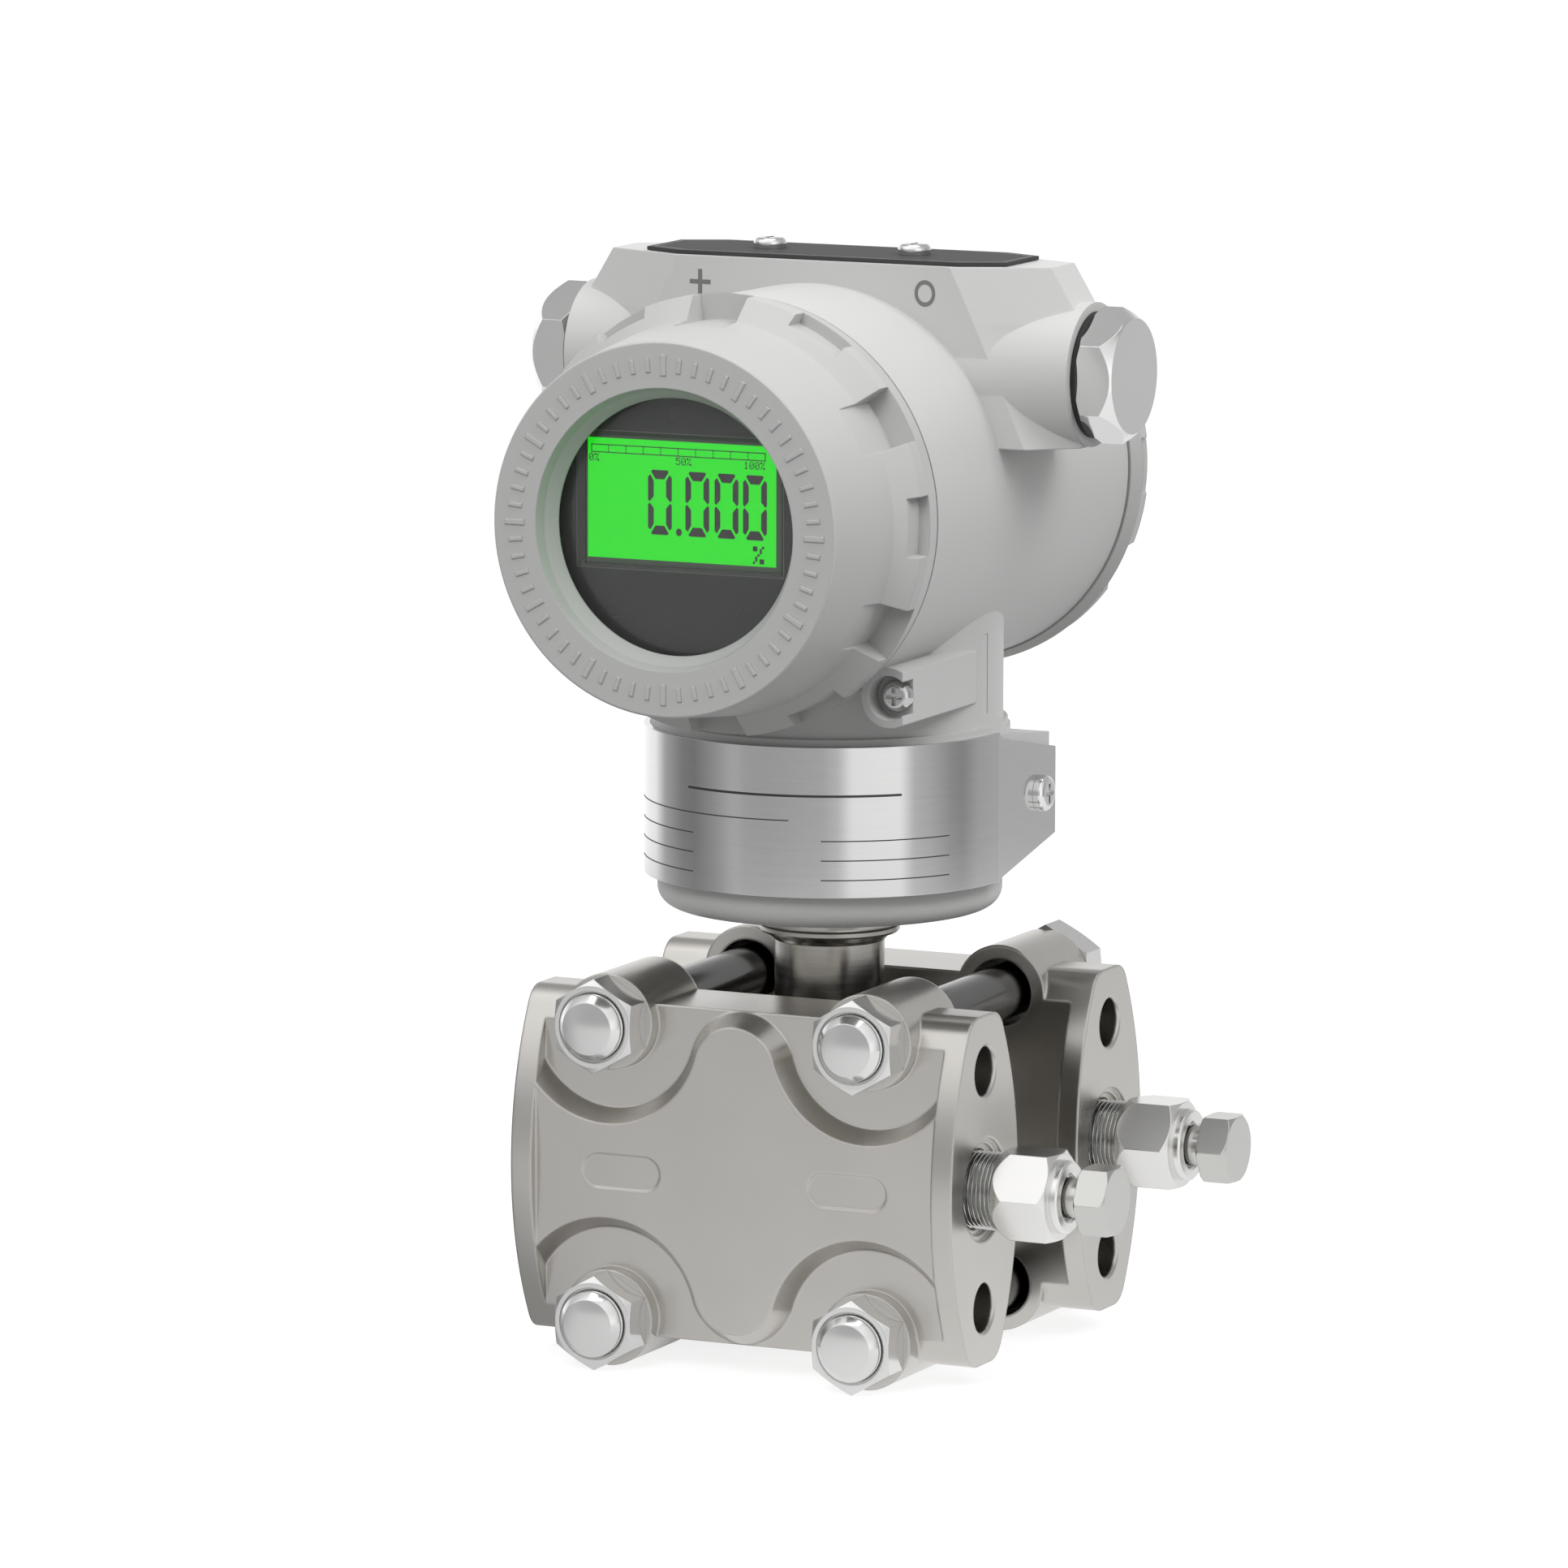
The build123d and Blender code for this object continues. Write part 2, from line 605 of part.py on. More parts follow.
def vent_stem(y):
    hexagon = hex_piece(STEM_HEX_AF, STEM_HEX_END - STEM_HEX_X, STEM_HEX_AF / 2 - 0.1, 30, 0)
    hexagon = facing(STEM_HEX_X, y, PORT_Z, (1, 0, 0), (0, 1, 0)) * hexagon
    with BuildPart() as stem:
        add(hexagon)
        with Locations((STEM_START, y, PORT_Z)):
            Cylinder(
                STEM_R,
                STEM_HEX_X - STEM_START + 0.5,
                rotation=(0, 90, 0),
                align=(Align.CENTER, Align.CENTER, Align.MIN),
            )
    return stem.part


save(vent_valve(-PORT_Y), "vent_valve_front")
save(vent_valve(PORT_Y), "vent_valve_rear")
save(vent_stem(-PORT_Y), "vent_stem_front")
save(vent_stem(PORT_Y), "vent_stem_rear")

# housing

barrel_shape = turned_y([(FRONT_Y, 0), (FRONT_Y, FRONT_R), (REAR_Y, REAR_R), (REAR_Y, 0)], BARREL_Z)

with BuildPart() as neck_blank:
    with Locations((0, 0, NECK_BOTTOM)):
        Cylinder(NECK_R, BARREL_Z - NECK_BOTTOM, align=(Align.CENTER, Align.CENTER, Align.MIN))
    fillet(neck_blank.faces().sort_by(Axis.Z)[0].edges(), NECK_EDGE_R)
neck_shape = neck_blank.part


def octagon(end_x, end_half, mid_x, mid_half):
    """corners of the block section seen from above"""
    quarter = [(end_x, end_half), (mid_x, mid_half)]
    right = quarter + [(-x, y) for x, y in reversed(quarter)]
    return [(x, BLOCK_Y + y) for x, y in right] + [(-x, BLOCK_Y - y) for x, y in right]


top_outline = octagon(BLOCK_TOP_END_X, BLOCK_END_HALF_Y, BLOCK_TOP_MID_X, BLOCK_MID_HALF_Y)
side_outline = octagon(BLOCK_SIDE_END_X, BLOCK_END_HALF_Y, BLOCK_SIDE_MID_X, BLOCK_MID_HALF_Y)
low_outline = octagon(BLOCK_SIDE_END_X, BLOCK_END_HALF_Y, BLOCK_LOW_MID_X, BLOCK_MID_HALF_Y)


def block_part(low_z, low_points, high_z, high_points):
    with BuildPart() as block:
        for height, points in ((low_z, low_points), (high_z, high_points)):
            with BuildSketch(Plane.XY.offset(height)):
                with BuildLine():
                    Polyline(points, close=True)
                make_face()
        loft(ruled=True)
    return block.part


block_upper = block_part(BLOCK_SIDE_TOP, side_outline, BLOCK_TOP, top_outline)
block_lower = block_part(BLOCK_LOW, low_outline, BLOCK_SIDE_TOP, side_outline)

front_room = turned_y(
    [
        (FRONT_Y - 1, 0),
        (FRONT_Y - 1, FRONT_THREAD_R),
        (FRONT_Y + THREAD_DEEP + 1, FRONT_THREAD_R),
        (FRONT_Y + THREAD_DEEP + 1, FRONT_BORE_R),
        (WALL_FRONT_Y, FRONT_BORE_R),
        (WALL_FRONT_Y, 0),
    ],
    BARREL_Z,
)
rear_room = turned_y(
    [
        (WALL_REAR_Y, 0),
        (WALL_REAR_Y, REAR_BORE_R),
        (REAR_Y - THREAD_DEEP + 1, REAR_BORE_R),
        (REAR_Y - THREAD_DEEP + 1, REAR_THREAD_R),
        (REAR_Y + 1, REAR_THREAD_R),
        (REAR_Y + 1, 0),
    ],
    BARREL_Z,
)
neck_room = turned_z(
    [
        (0, NECK_BOTTOM - 1),
        (TUBE_R + TUBE_FIT, NECK_BOTTOM - 1),
        (TUBE_R + TUBE_FIT, SEAL_LOW - 0.2),
        (SEAL_OUT_R + 0.05, SEAL_LOW - 0.2),
        (SEAL_OUT_R + 0.05, SEAL_LOW + SEAL_H + 0.2),
        (TUBE_R + TUBE_FIT, SEAL_LOW + SEAL_H + 0.2),
        (TUBE_R + TUBE_FIT, NECK_BOTTOM + NECK_FLOOR),
        (NECK_CAVITY_R, NECK_BOTTOM + NECK_FLOOR),
        (NECK_CAVITY_R, NECK_CAVITY_TOP),
        (0, NECK_CAVITY_TOP),
    ]
)

with BuildPart() as housing:
    add(barrel_shape)
    add(neck_shape)
    add(block_upper)
    add(block_lower)
    # cable entry bosses
    with Locations((0, ENTRY_Y, ENTRY_Z)):
        Cylinder(ENTRY_R, 2 * ENTRY_X, rotation=(0, 90, 0))
    # band seat and the shoulder above it
    with Locations((0, 0, BAND_LOW + 0.5)):
        Cylinder(BAND_SEAT_R, BAND_HIGH - BAND_LOW - 0.5, align=(Align.CENTER, Align.CENTER, Align.MIN))
    with Locations((0, 0, BAND_HIGH - 1)):
        Cylinder(SHOULDER_R, SHOULDER_TOP - BAND_HIGH + 1, align=(Align.CENTER, Align.CENTER, Align.MIN))
    # flat boss behind the ear of the band
    with BuildSketch(Plane.YZ.offset(10)):
        with BuildLine():
            Polyline(
                (0, BAND_LOW + 0.5),
                (EAR_Y - 0.5, BAND_LOW + EAR_TAPER - 0.9),
                (EAR_Y - 0.5, BAND_HIGH - EAR_TAPER + 2.6),
                (0, BAND_HIGH - 0.1),
                close=True,
            )
        make_face()
    extrude(amount=BAND_SEAT_R - 10)
    # lock screw boss
    with Locations((LOCK_X, LOCK_FRONT_Y, LOCK_Z)):
        Cylinder(
            LOCK_R,
            LOCK_BACK_Y - LOCK_FRONT_Y,
            rotation=(-90, 0, 0),
            align=(Align.CENTER, Align.CENTER, Align.MIN),
        )
    with Locations((LOCK_FLAT_X + 5, (LOCK_FRONT_Y + LOCK_BACK_Y) / 2, LOCK_Z)):
        Box(10, 40, 14, mode=Mode.SUBTRACT)
    with Locations((LOCK_X, LOCK_FRONT_Y, LOCK_Z)):
        Cylinder(LOCK_RECESS_R, 2 * LOCK_RECESS_DEEP, rotation=(90, 0, 0), mode=Mode.SUBTRACT)
        Cylinder(SCREW_BORE_R, 24, rotation=(90, 0, 0), mode=Mode.SUBTRACT)
    with Locations((LOCK_X, LOCK_FRONT_Y, LOCK_Z)):
        Box(
            10,
            2 * LOCK_RECESS_DEEP,
            LOCK_RECESS_R + 1.63,
            align=(Align.MIN, Align.CENTER, Align.CENTER),
            mode=Mode.SUBTRACT,
        )
    # rooms inside
    add(front_room, mode=Mode.SUBTRACT)
    add(rear_room, mode=Mode.SUBTRACT)
    add(neck_room, mode=Mode.SUBTRACT)
    with Locations((0, -16, NECK_CAVITY_TOP - 1)):
        Cylinder(6, 14, align=(Align.CENTER, Align.CENTER, Align.MIN), mode=Mode.SUBTRACT)
    for side in (-1, 1):
        with Locations((side * (ENTRY_X + ENTRY_BORE_X) / 2, ENTRY_Y, ENTRY_Z)):
            Cylinder(ENTRY_BORE_R, ENTRY_X - ENTRY_BORE_X, rotation=(0, 90, 0), mode=Mode.SUBTRACT)
    # bores of the two buttons, the plate screws and the band screw
    with Locations(*[(s * BUTTON_X, BLOCK_Y, BUTTON_BORE_BOTTOM) for s in (-1, 1)]):
        Cylinder(BUTTON_R + BUTTON_FIT, 20, align=(Align.CENTER, Align.CENTER, Align.MIN), mode=Mode.SUBTRACT)
    with Locations(*[(s * PLATE_SCREW_X, BLOCK_Y, BLOCK_TOP) for s in (-1, 1)]):
        Cylinder(SCREW_BORE_R, 13, mode=Mode.SUBTRACT)
    with Locations((BAND_SEAT_R, EAR_SCREW_Y, EAR_SCREW_Z)):
        Cylinder(SCREW_BORE_R, 13, rotation=(0, 90, 0), mode=Mode.SUBTRACT)
save(housing.part, "housing")

# covers


def notch_cutters(floor_r, half_angle, angles, low_y, high_y):
    """ring sectors that cut the finger notches of a cover"""
    with BuildPart() as cutters:
        with BuildSketch(Plane(origin=(0, low_y, BARREL_Z), x_dir=(1, 0, 0), z_dir=FRONTWARD)):
            for angle in angles:
                edges = [math.radians(angle - half_angle), math.radians(angle + half_angle)]
                inner = [(NOTCH_IN_R * math.cos(a), NOTCH_IN_R * math.sin(a)) for a in edges]
                outer = [(NOTCH_OUT_R * math.cos(a), NOTCH_OUT_R * math.sin(a)) for a in edges]
                with BuildLine():
                    Polyline([inner[0], outer[0], outer[1], inner[1]], close=True)
                make_face()
            Circle(floor_r, mode=Mode.SUBTRACT)
        extrude(amount=low_y - high_y)
    return cutters.part


deep_angles = [30 + 60 * n for n in range(6)]
small_angles = [60 * n for n in range(6)]
glass_back_y = GLASS_FRONT_Y + GLASS_THICK
retainer_back_y = glass_back_y + RETAINER_THICK
front_seal_y = FRONT_Y - SEAL_GAP - SEAL_THICK
front_rim_y = front_seal_y - SEAL_GAP
front_skirt_r = FRONT_THREAD_R - COVER_FIT

front_cover_blank = turned_y(
    [
        (COVER_FACE_Y, MOUTH_R),
        (COVER_FACE_Y, COVER_FACE_R),
        (COVER_FACE_Y + COVER_EDGE, COVER_FACE_R + COVER_EDGE),
        (RIB_Y, RIB_R),
        (LUG_FRONT_Y, LUG_R),
        (LUG_BACK_Y, LUG_R),
        (front_rim_y, FRONT_R + 0.05),
        (front_rim_y, front_skirt_r),
        (FRONT_Y + THREAD_DEEP, front_skirt_r),
        (FRONT_Y + THREAD_DEEP, SKIRT_IN_R),
        (retainer_back_y, SKIRT_IN_R),
        (retainer_back_y, GLASS_R + GLASS_FIT),
        (GLASS_FRONT_Y, GLASS_R + GLASS_FIT),
        (GLASS_FRONT_Y, WINDOW_R),
        (WINDOW_STEP_Y, WINDOW_STEP_R),
    ],
    BARREL_Z,
)
front_deep = notch_cutters(DEEP_NOTCH_R, DEEP_NOTCH_HALF, deep_angles, LUG_BACK_Y, COVER_FACE_Y - 3)
front_small = notch_cutters(SMALL_NOTCH_R, SMALL_NOTCH_HALF, small_angles, LUG_BACK_Y, COVER_FACE_Y - 3)

with BuildPart() as front_cover:
    add(front_cover_blank)
    add(front_deep, mode=Mode.SUBTRACT)
    add(front_small, mode=Mode.SUBTRACT)
save(front_cover.part, "front_cover")

disc_y("window_glass", GLASS_FRONT_Y + 0.02, glass_back_y, GLASS_R, 0, BARREL_Z)
disc_y("window_retainer", glass_back_y + 0.02, retainer_back_y, GLASS_R, RETAINER_IN_R, BARREL_Z)
disc_y("front_cover_seal", front_seal_y, front_seal_y + SEAL_THICK, FRONT_R - SEAL_INSET, FRONT_THREAD_R, BARREL_Z)

rear_seal_y = REAR_Y + SEAL_GAP
rear_rim_y = rear_seal_y + SEAL_THICK + SEAL_GAP
rear_skirt_r = REAR_THREAD_R - COVER_FIT
rear_inside_y = REAR_FACE_Y - REAR_FACE_THICK

rear_cover_blank = turned_y(
    [
        (rear_rim_y, REAR_R + 0.3),
        (REAR_LUG_Y, REAR_LUG_R),
        (REAR_LUG_Y + 3.4, REAR_LUG_R - 0.4),
        (REAR_FACE_Y - 3.9, REAR_LUG_R - 2.2),
        (REAR_FACE_Y - 1.0, REAR_LUG_R - 5.1),
        (REAR_FACE_Y, REAR_LUG_R - 7.6),
        (REAR_FACE_Y, 0),
        (rear_inside_y, 0),
        (rear_inside_y, REAR_SKIRT_IN_R),
        (REAR_Y - THREAD_DEEP, REAR_SKIRT_IN_R),
        (REAR_Y - THREAD_DEEP + 1.5, rear_skirt_r),
        (rear_rim_y, rear_skirt_r),
    ],
    BARREL_Z,
)
rear_deep = notch_cutters(REAR_DEEP_NOTCH_R, DEEP_NOTCH_HALF, deep_angles, REAR_FACE_Y + 7.5, REAR_LUG_Y)
rear_small = notch_cutters(REAR_SMALL_NOTCH_R, SMALL_NOTCH_HALF, small_angles, REAR_FACE_Y + 7.5, REAR_LUG_Y)

with BuildPart() as rear_cover:
    add(rear_cover_blank)
    add(rear_deep, mode=Mode.SUBTRACT)
    add(rear_small, mode=Mode.SUBTRACT)
save(rear_cover.part, "rear_cover")

disc_y("rear_cover_seal", rear_seal_y, rear_seal_y + SEAL_THICK, REAR_R - SEAL_INSET, REAR_THREAD_R, BARREL_Z)

# display behind the window

module_shape = turned_y(
    [
        (MODULE_FACE_Y, 0),
        (MODULE_FACE_Y, MODULE_R),
        (MODULE_BACK_Y - MODULE_FLANGE, MODULE_R),
        (MODULE_BACK_Y - MODULE_FLANGE, MODULE_FLANGE_R),
        (MODULE_BACK_Y, MODULE_FLANGE_R),
        (MODULE_BACK_Y, MODULE_R - MODULE_WALL),
        (MODULE_FACE_Y + MODULE_FACE_THICK, MODULE_R - MODULE_WALL),
        (MODULE_FACE_Y + MODULE_FACE_THICK, 0),
    ],
    BARREL_Z,
)
key_spots = [(-1.2, WINDOW_HIGH + 3.8), (-12.7, WINDOW_LOW - 7.6), (12.1, WINDOW_LOW - 7.8)]

with BuildPart() as display_module:
    add(module_shape)
    with Locations((0, MODULE_FACE_Y, (WINDOW_LOW + WINDOW_HIGH) / 2)):
        Box(2 * WINDOW_HALF_X, 4, WINDOW_HIGH - WINDOW_LOW, mode=Mode.SUBTRACT)
    with Locations(*[(x, MODULE_FACE_Y, z) for x, z in key_spots]):
        Cylinder(KEY_R, 4, rotation=(90, 0, 0), mode=Mode.SUBTRACT)
save(display_module.part, "display_module")

face_back = MODULE_FACE_Y + MODULE_FACE_THICK
with BuildPart() as lcd_panel:
    with Locations((0, face_back + 0.02, (WINDOW_LOW + WINDOW_HIGH) / 2)):
        Box(
            2 * PANEL_HALF_X,
            PANEL_THICK,
            WINDOW_HIGH - WINDOW_LOW + 2 * PANEL_EDGE,
            align=(Align.CENTER, Align.MIN, Align.CENTER),
        )
save(lcd_panel.part, "lcd_panel")

key_list = []
for x, z in key_spots:
    with BuildPart() as key_lens:
        with Locations((x, MODULE_FACE_Y + 0.05, z)):
            Cylinder(KEY_R - 0.04, 1.2, rotation=(-90, 0, 0), align=(Align.CENTER, Align.CENTER, Align.MIN))
    key_list.append(key_lens.part)
save(joined("display_keys", key_list), "display_keys")

# circuit board on stand-offs

board_y = MODULE_BACK_Y + 0.05
with BuildPart() as electronics_board:
    with Locations((0, board_y, BARREL_Z)):
        Cylinder(BOARD_R, BOARD_THICK, rotation=(-90, 0, 0), align=(Align.CENTER, Align.CENTER, Align.MIN))
    with Locations((0, board_y + BOARD_THICK, BARREL_Z + 4)):
        Box(22, 5, 14, align=(Align.CENTER, Align.MIN, Align.CENTER))
save(electronics_board.part, "electronics_board")

post_list = []
for angle in (90, 210, 330):
    across = POST_AT_R * math.cos(math.radians(angle))
    up = BARREL_Z + POST_AT_R * math.sin(math.radians(angle))
    with BuildPart() as post:
        with Locations((across, board_y + BOARD_THICK + 0.02, up)):
            Cylinder(
                POST_R,
                WALL_FRONT_Y - board_y - BOARD_THICK - 0.04,
                rotation=(-90, 0, 0),
                align=(Align.CENTER, Align.CENTER, Align.MIN),
            )
    post_list.append(post.part)
save(joined("board_standoffs", post_list), "board_standoffs")

# terminal block behind the rear cover

terminal_x = [TERMINAL_PITCH * (n - 1.5) for n in range(4)]
terminal_face = WALL_REAR_Y + TERMINAL_RISE
terminal_z = BARREL_Z - TERMINAL_DROP
with BuildPart() as terminal_block:
    with Locations((0, WALL_REAR_Y + FACE_GAP, terminal_z)):
        Box(TERMINAL_LONG, TERMINAL_BASE, TERMINAL_HIGH, align=(Align.CENTER, Align.MIN, Align.CENTER))
        Box(TERMINAL_LONG, TERMINAL_RISE - FACE_GAP, 10, align=(Align.CENTER, Align.MIN, Align.CENTER))
    with Locations(*[(x, terminal_face, terminal_z) for x in terminal_x]):
        Box(7.4, 3.0, 8.0, mode=Mode.SUBTRACT)
        Cylinder(1.75, 20, rotation=(90, 0, 0), mode=Mode.SUBTRACT)
save(terminal_block.part, "terminal_block")

terminal_list = []
for x in terminal_x:
    screw = pan_screw(3.3, 2.2, 1.7, 7.0)
    terminal_list.append(facing(x, terminal_face - 1.45, terminal_z, BACKWARD, (1, 0, 0)) * screw)
save(joined("terminal_screws", terminal_list), "terminal_screws")

# plugs and seals of the cable entries


def entry_plug(side):
    hexagon = hex_piece(PLUG_AF, PLUG_H, PLUG_FACE_R, 30, 30)
    with BuildPart() as plug:
        add(hexagon)
        Cylinder(
            ENTRY_BORE_R - PLUG_FIT,
            ENTRY_X + PLUG_SEAL_THICK - PLUG_SHANK_END,
            align=(Align.CENTER, Align.CENTER, Align.MAX),
        )
    at = facing(side * (ENTRY_X + PLUG_SEAL_THICK), ENTRY_Y, ENTRY_Z, (side, 0, 0), (0, 1, 0))
    return at * plug.part


def entry_seal(side):
    with BuildPart() as ring:
        Cylinder(PLUG_SEAL_R, PLUG_SEAL_THICK - 0.04, align=(Align.CENTER, Align.CENTER, Align.MIN))
        Cylinder(ENTRY_BORE_R, 4 * PLUG_SEAL_THICK, mode=Mode.SUBTRACT)
    at = facing(side * (ENTRY_X + 0.02), ENTRY_Y, ENTRY_Z, (side, 0, 0), (0, 1, 0))
    return at * ring.part


save(entry_plug(-1), "conduit_plug_left")
save(entry_plug(1), "conduit_plug_right")
save(entry_seal(-1), "conduit_seal_left")
save(entry_seal(1), "conduit_seal_right")

# name plate with two screws, adjustment buttons below it

plate_low = BLOCK_TOP + PLATE_GAP
plate_points = octagon(PLATE_END_X, PLATE_END_HALF_Y, PLATE_MID_X, PLATE_MID_HALF_Y)
with BuildPart() as nameplate:
    with BuildSketch(Plane.XY.offset(plate_low)):
        with BuildLine():
            Polyline(plate_points, close=True)
        make_face()
        with Locations((-PLATE_SCREW_X, BLOCK_Y), (PLATE_SCREW_X, BLOCK_Y)):
            Circle(SCREW_PASS_R, mode=Mode.SUBTRACT)
    extrude(amount=PLATE_THICK)
save(nameplate.part, "nameplate")

plate_screws = []
for side in (-1, 1):
    screw = pan_screw(PLATE_SCREW_R, SCREW_HEAD_H, SCREW_CORE_R, SCREW_LONG)
    plate_screws.append(Pos(side * PLATE_SCREW_X, BLOCK_Y, plate_low + PLATE_THICK + 0.02) * screw)
save(joined("nameplate_screws", plate_screws), "nameplate_screws")

for side, name in ((1, "zero_button"), (-1, "span_button")):
    with BuildPart() as button:
        with Locations((side * BUTTON_X, BLOCK_Y, BLOCK_TOP - BUTTON_SINK)):
            Cylinder(BUTTON_R, BUTTON_H, align=(Align.CENTER, Align.CENTER, Align.MAX))
        chamfer(button.faces().sort_by(Axis.Z)[-1].edges(), 0.3)
    save(button.part, name)

# label band and its screw

band_far = 2 * BAND_OUT_R
with BuildPart() as label_band:
    with BuildSketch(Plane.XY.offset(BAND_LOW)):
        Circle(BAND_OUT_R)
        Circle(BAND_IN_R, mode=Mode.SUBTRACT)
        with BuildLine():
            Polyline((0, 0), (band_far, 0), (band_far, band_far), (band_far / 3, band_far), close=True)
        make_face(mode=Mode.SUBTRACT)
    extrude(amount=BAND_HIGH - BAND_LOW)
    with BuildSketch(Plane.YZ.offset(BAND_IN_R)):
        with BuildLine():
            Polyline(
                (-1, BAND_LOW),
                (1, BAND_LOW + 0.6),
                (EAR_Y, BAND_LOW + EAR_TAPER),
                (EAR_Y, BAND_HIGH - EAR_TAPER),
                (1, BAND_HIGH - 1.1),
                (-1, BAND_HIGH),
                close=True,
            )
        make_face()
        with Locations((EAR_SCREW_Y, EAR_SCREW_Z)):
            Circle(SCREW_PASS_R, mode=Mode.SUBTRACT)
    extrude(amount=BAND_OUT_R - BAND_IN_R)
    with Locations((0, 0, BAND_LOW)):
        Cylinder(BAND_IN_R, BAND_HIGH, align=(Align.CENTER, Align.CENTER, Align.MIN), mode=Mode.SUBTRACT)
save(label_band.part, "label_band")

band_screw = pan_screw(BAND_SCREW_R, SCREW_HEAD_H, SCREW_CORE_R, SCREW_LONG)
save(facing(BAND_OUT_R + 0.02, EAR_SCREW_Y, EAR_SCREW_Z, (1, 0, 0), (0, 1, 0)) * band_screw, "label_band_screw")

# lock screw of the front cover

lock_screw = pan_screw(2.8, 2.3, SCREW_CORE_R, 6.5)
lock_y = LOCK_FRONT_Y + LOCK_RECESS_DEEP - 0.1
save(facing(LOCK_X, lock_y, LOCK_Z, FRONTWARD, (1, 0, 0)) * lock_screw, "cover_lock_screw")
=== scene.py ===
import math

import bmesh
import bpy
from mathutils import Matrix, Vector


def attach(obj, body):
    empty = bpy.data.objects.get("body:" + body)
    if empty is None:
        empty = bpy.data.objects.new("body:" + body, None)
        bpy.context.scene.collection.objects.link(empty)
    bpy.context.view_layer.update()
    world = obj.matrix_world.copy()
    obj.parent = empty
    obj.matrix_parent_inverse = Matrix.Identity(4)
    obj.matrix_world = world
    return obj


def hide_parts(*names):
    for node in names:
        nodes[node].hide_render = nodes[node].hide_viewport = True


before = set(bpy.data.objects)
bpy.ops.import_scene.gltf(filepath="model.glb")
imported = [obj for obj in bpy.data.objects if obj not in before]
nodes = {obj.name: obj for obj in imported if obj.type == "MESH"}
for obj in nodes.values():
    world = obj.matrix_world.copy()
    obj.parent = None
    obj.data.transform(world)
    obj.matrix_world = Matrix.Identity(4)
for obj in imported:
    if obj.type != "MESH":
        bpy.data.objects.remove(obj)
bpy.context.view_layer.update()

MM = 0.001

# sizes in millimetres, from the part's source
PORT_Z = 34.5
BARREL_Z = PORT_Z + 116.17
PORT_Y = 27.0
BOLT_X, BOLT_Z = 24.54, 26.06
BOLT_TIP_Y = 46.66
BOLT_R = 5.56
FACE_Y = -67.2
LCD_Y = -58.4
MODULE_FACE_Y = -59.2
VENT_SHANK_X, VENT_START, VENT_HEX_X, VENT_HEX_END = 29.9, 38.6, 46.0, 56.3
VENT_ROOT, VENT_CREST, VENT_PITCH = 6.05, 6.8, 0.8
ENTRY_Y, ENTRY_Z = 4.5, PORT_Z + 137.8
BLOCK_TOP = PORT_Z + 156.4
BLOCK_Y = 4.4
BLOCK_FRONT_Y = BLOCK_Y - 12.0

scene = bpy.context.scene
scene.view_settings.view_transform = "Standard"


# materials


def new_material(name):
    mat = bpy.data.materials.new(name)
    mat.use_nodes = True
    tree = mat.node_tree
    tree.nodes.clear()
    out = tree.nodes.new("ShaderNodeOutputMaterial")
    bsdf = tree.nodes.new("ShaderNodeBsdfPrincipled")
    tree.links.new(bsdf.outputs[0], out.inputs[0])
    return mat, tree, bsdf, out


def surface(
    name,
    color,
    vary=0.04,
    scale=60.0,
    rough=0.4,
    rough_vary=0.04,
    metal=0.0,
    bump=0.0,
    bump_scale=900.0,
    edge=0.0,
    spec=0.5,
    stretch=(1, 1, 1),
):
    """procedural surface: mottled colour and gloss, fine grain and softened edges"""
    mat, tree, bsdf, out = new_material(name)
    new = tree.nodes.new
    link = tree.links.new
    coord = new("ShaderNodeTexCoord")
    mapping = new("ShaderNodeMapping")
    mapping.inputs["Scale"].default_value = stretch
    link(coord.outputs["Object"], mapping.inputs["Vector"])
    noise = new("ShaderNodeTexNoise")
    noise.inputs["Scale"].default_value = scale
    noise.inputs["Detail"].default_value = 4
    link(mapping.outputs[0], noise.inputs["Vector"])
    ramp = new("ShaderNodeValToRGB")
    low = [c * (1 - vary) for c in color]
    high = [min(1.0, c * (1 + vary)) for c in color]
    ramp.color_ramp.elements[0].color = (*low, 1)
    ramp.color_ramp.elements[1].color = (*high, 1)
    ramp.color_ramp.elements[0].position = 0.3
    ramp.color_ramp.elements[1].position = 0.7
    link(noise.outputs["Fac"], ramp.inputs[0])
    link(ramp.outputs[0], bsdf.inputs["Base Color"])
    spread = new("ShaderNodeMapRange")
    spread.inputs["To Min"].default_value = max(0.02, rough - rough_vary)
    spread.inputs["To Max"].default_value = rough + rough_vary
    link(noise.outputs["Fac"], spread.inputs["Value"])
    link(spread.outputs[0], bsdf.inputs["Roughness"])
    bsdf.inputs["Metallic"].default_value = metal
    bsdf.inputs["Specular IOR Level"].default_value = spec
    normal = None
    if edge > 0:
        round_edge = new("ShaderNodeBevel")
        round_edge.samples = 6
        round_edge.inputs["Radius"].default_value = edge * MM
        normal = round_edge.outputs[0]
    if bump > 0:
        grain = new("ShaderNodeTexNoise")
        grain.inputs["Scale"].default_value = bump_scale
        grain.inputs["Detail"].default_value = 2
        link(mapping.outputs[0], grain.inputs["Vector"])
        bumper = new("ShaderNodeBump")
        bumper.inputs["Strength"].default_value = bump
        bumper.inputs["Distance"].default_value = 0.00005
        link(grain.outputs["Fac"], bumper.inputs["Height"])
        if normal is not None:
            link(normal, bumper.inputs["Normal"])
        normal = bumper.outputs[0]
    if normal is not None:
        link(normal, bsdf.inputs["Normal"])
    return mat


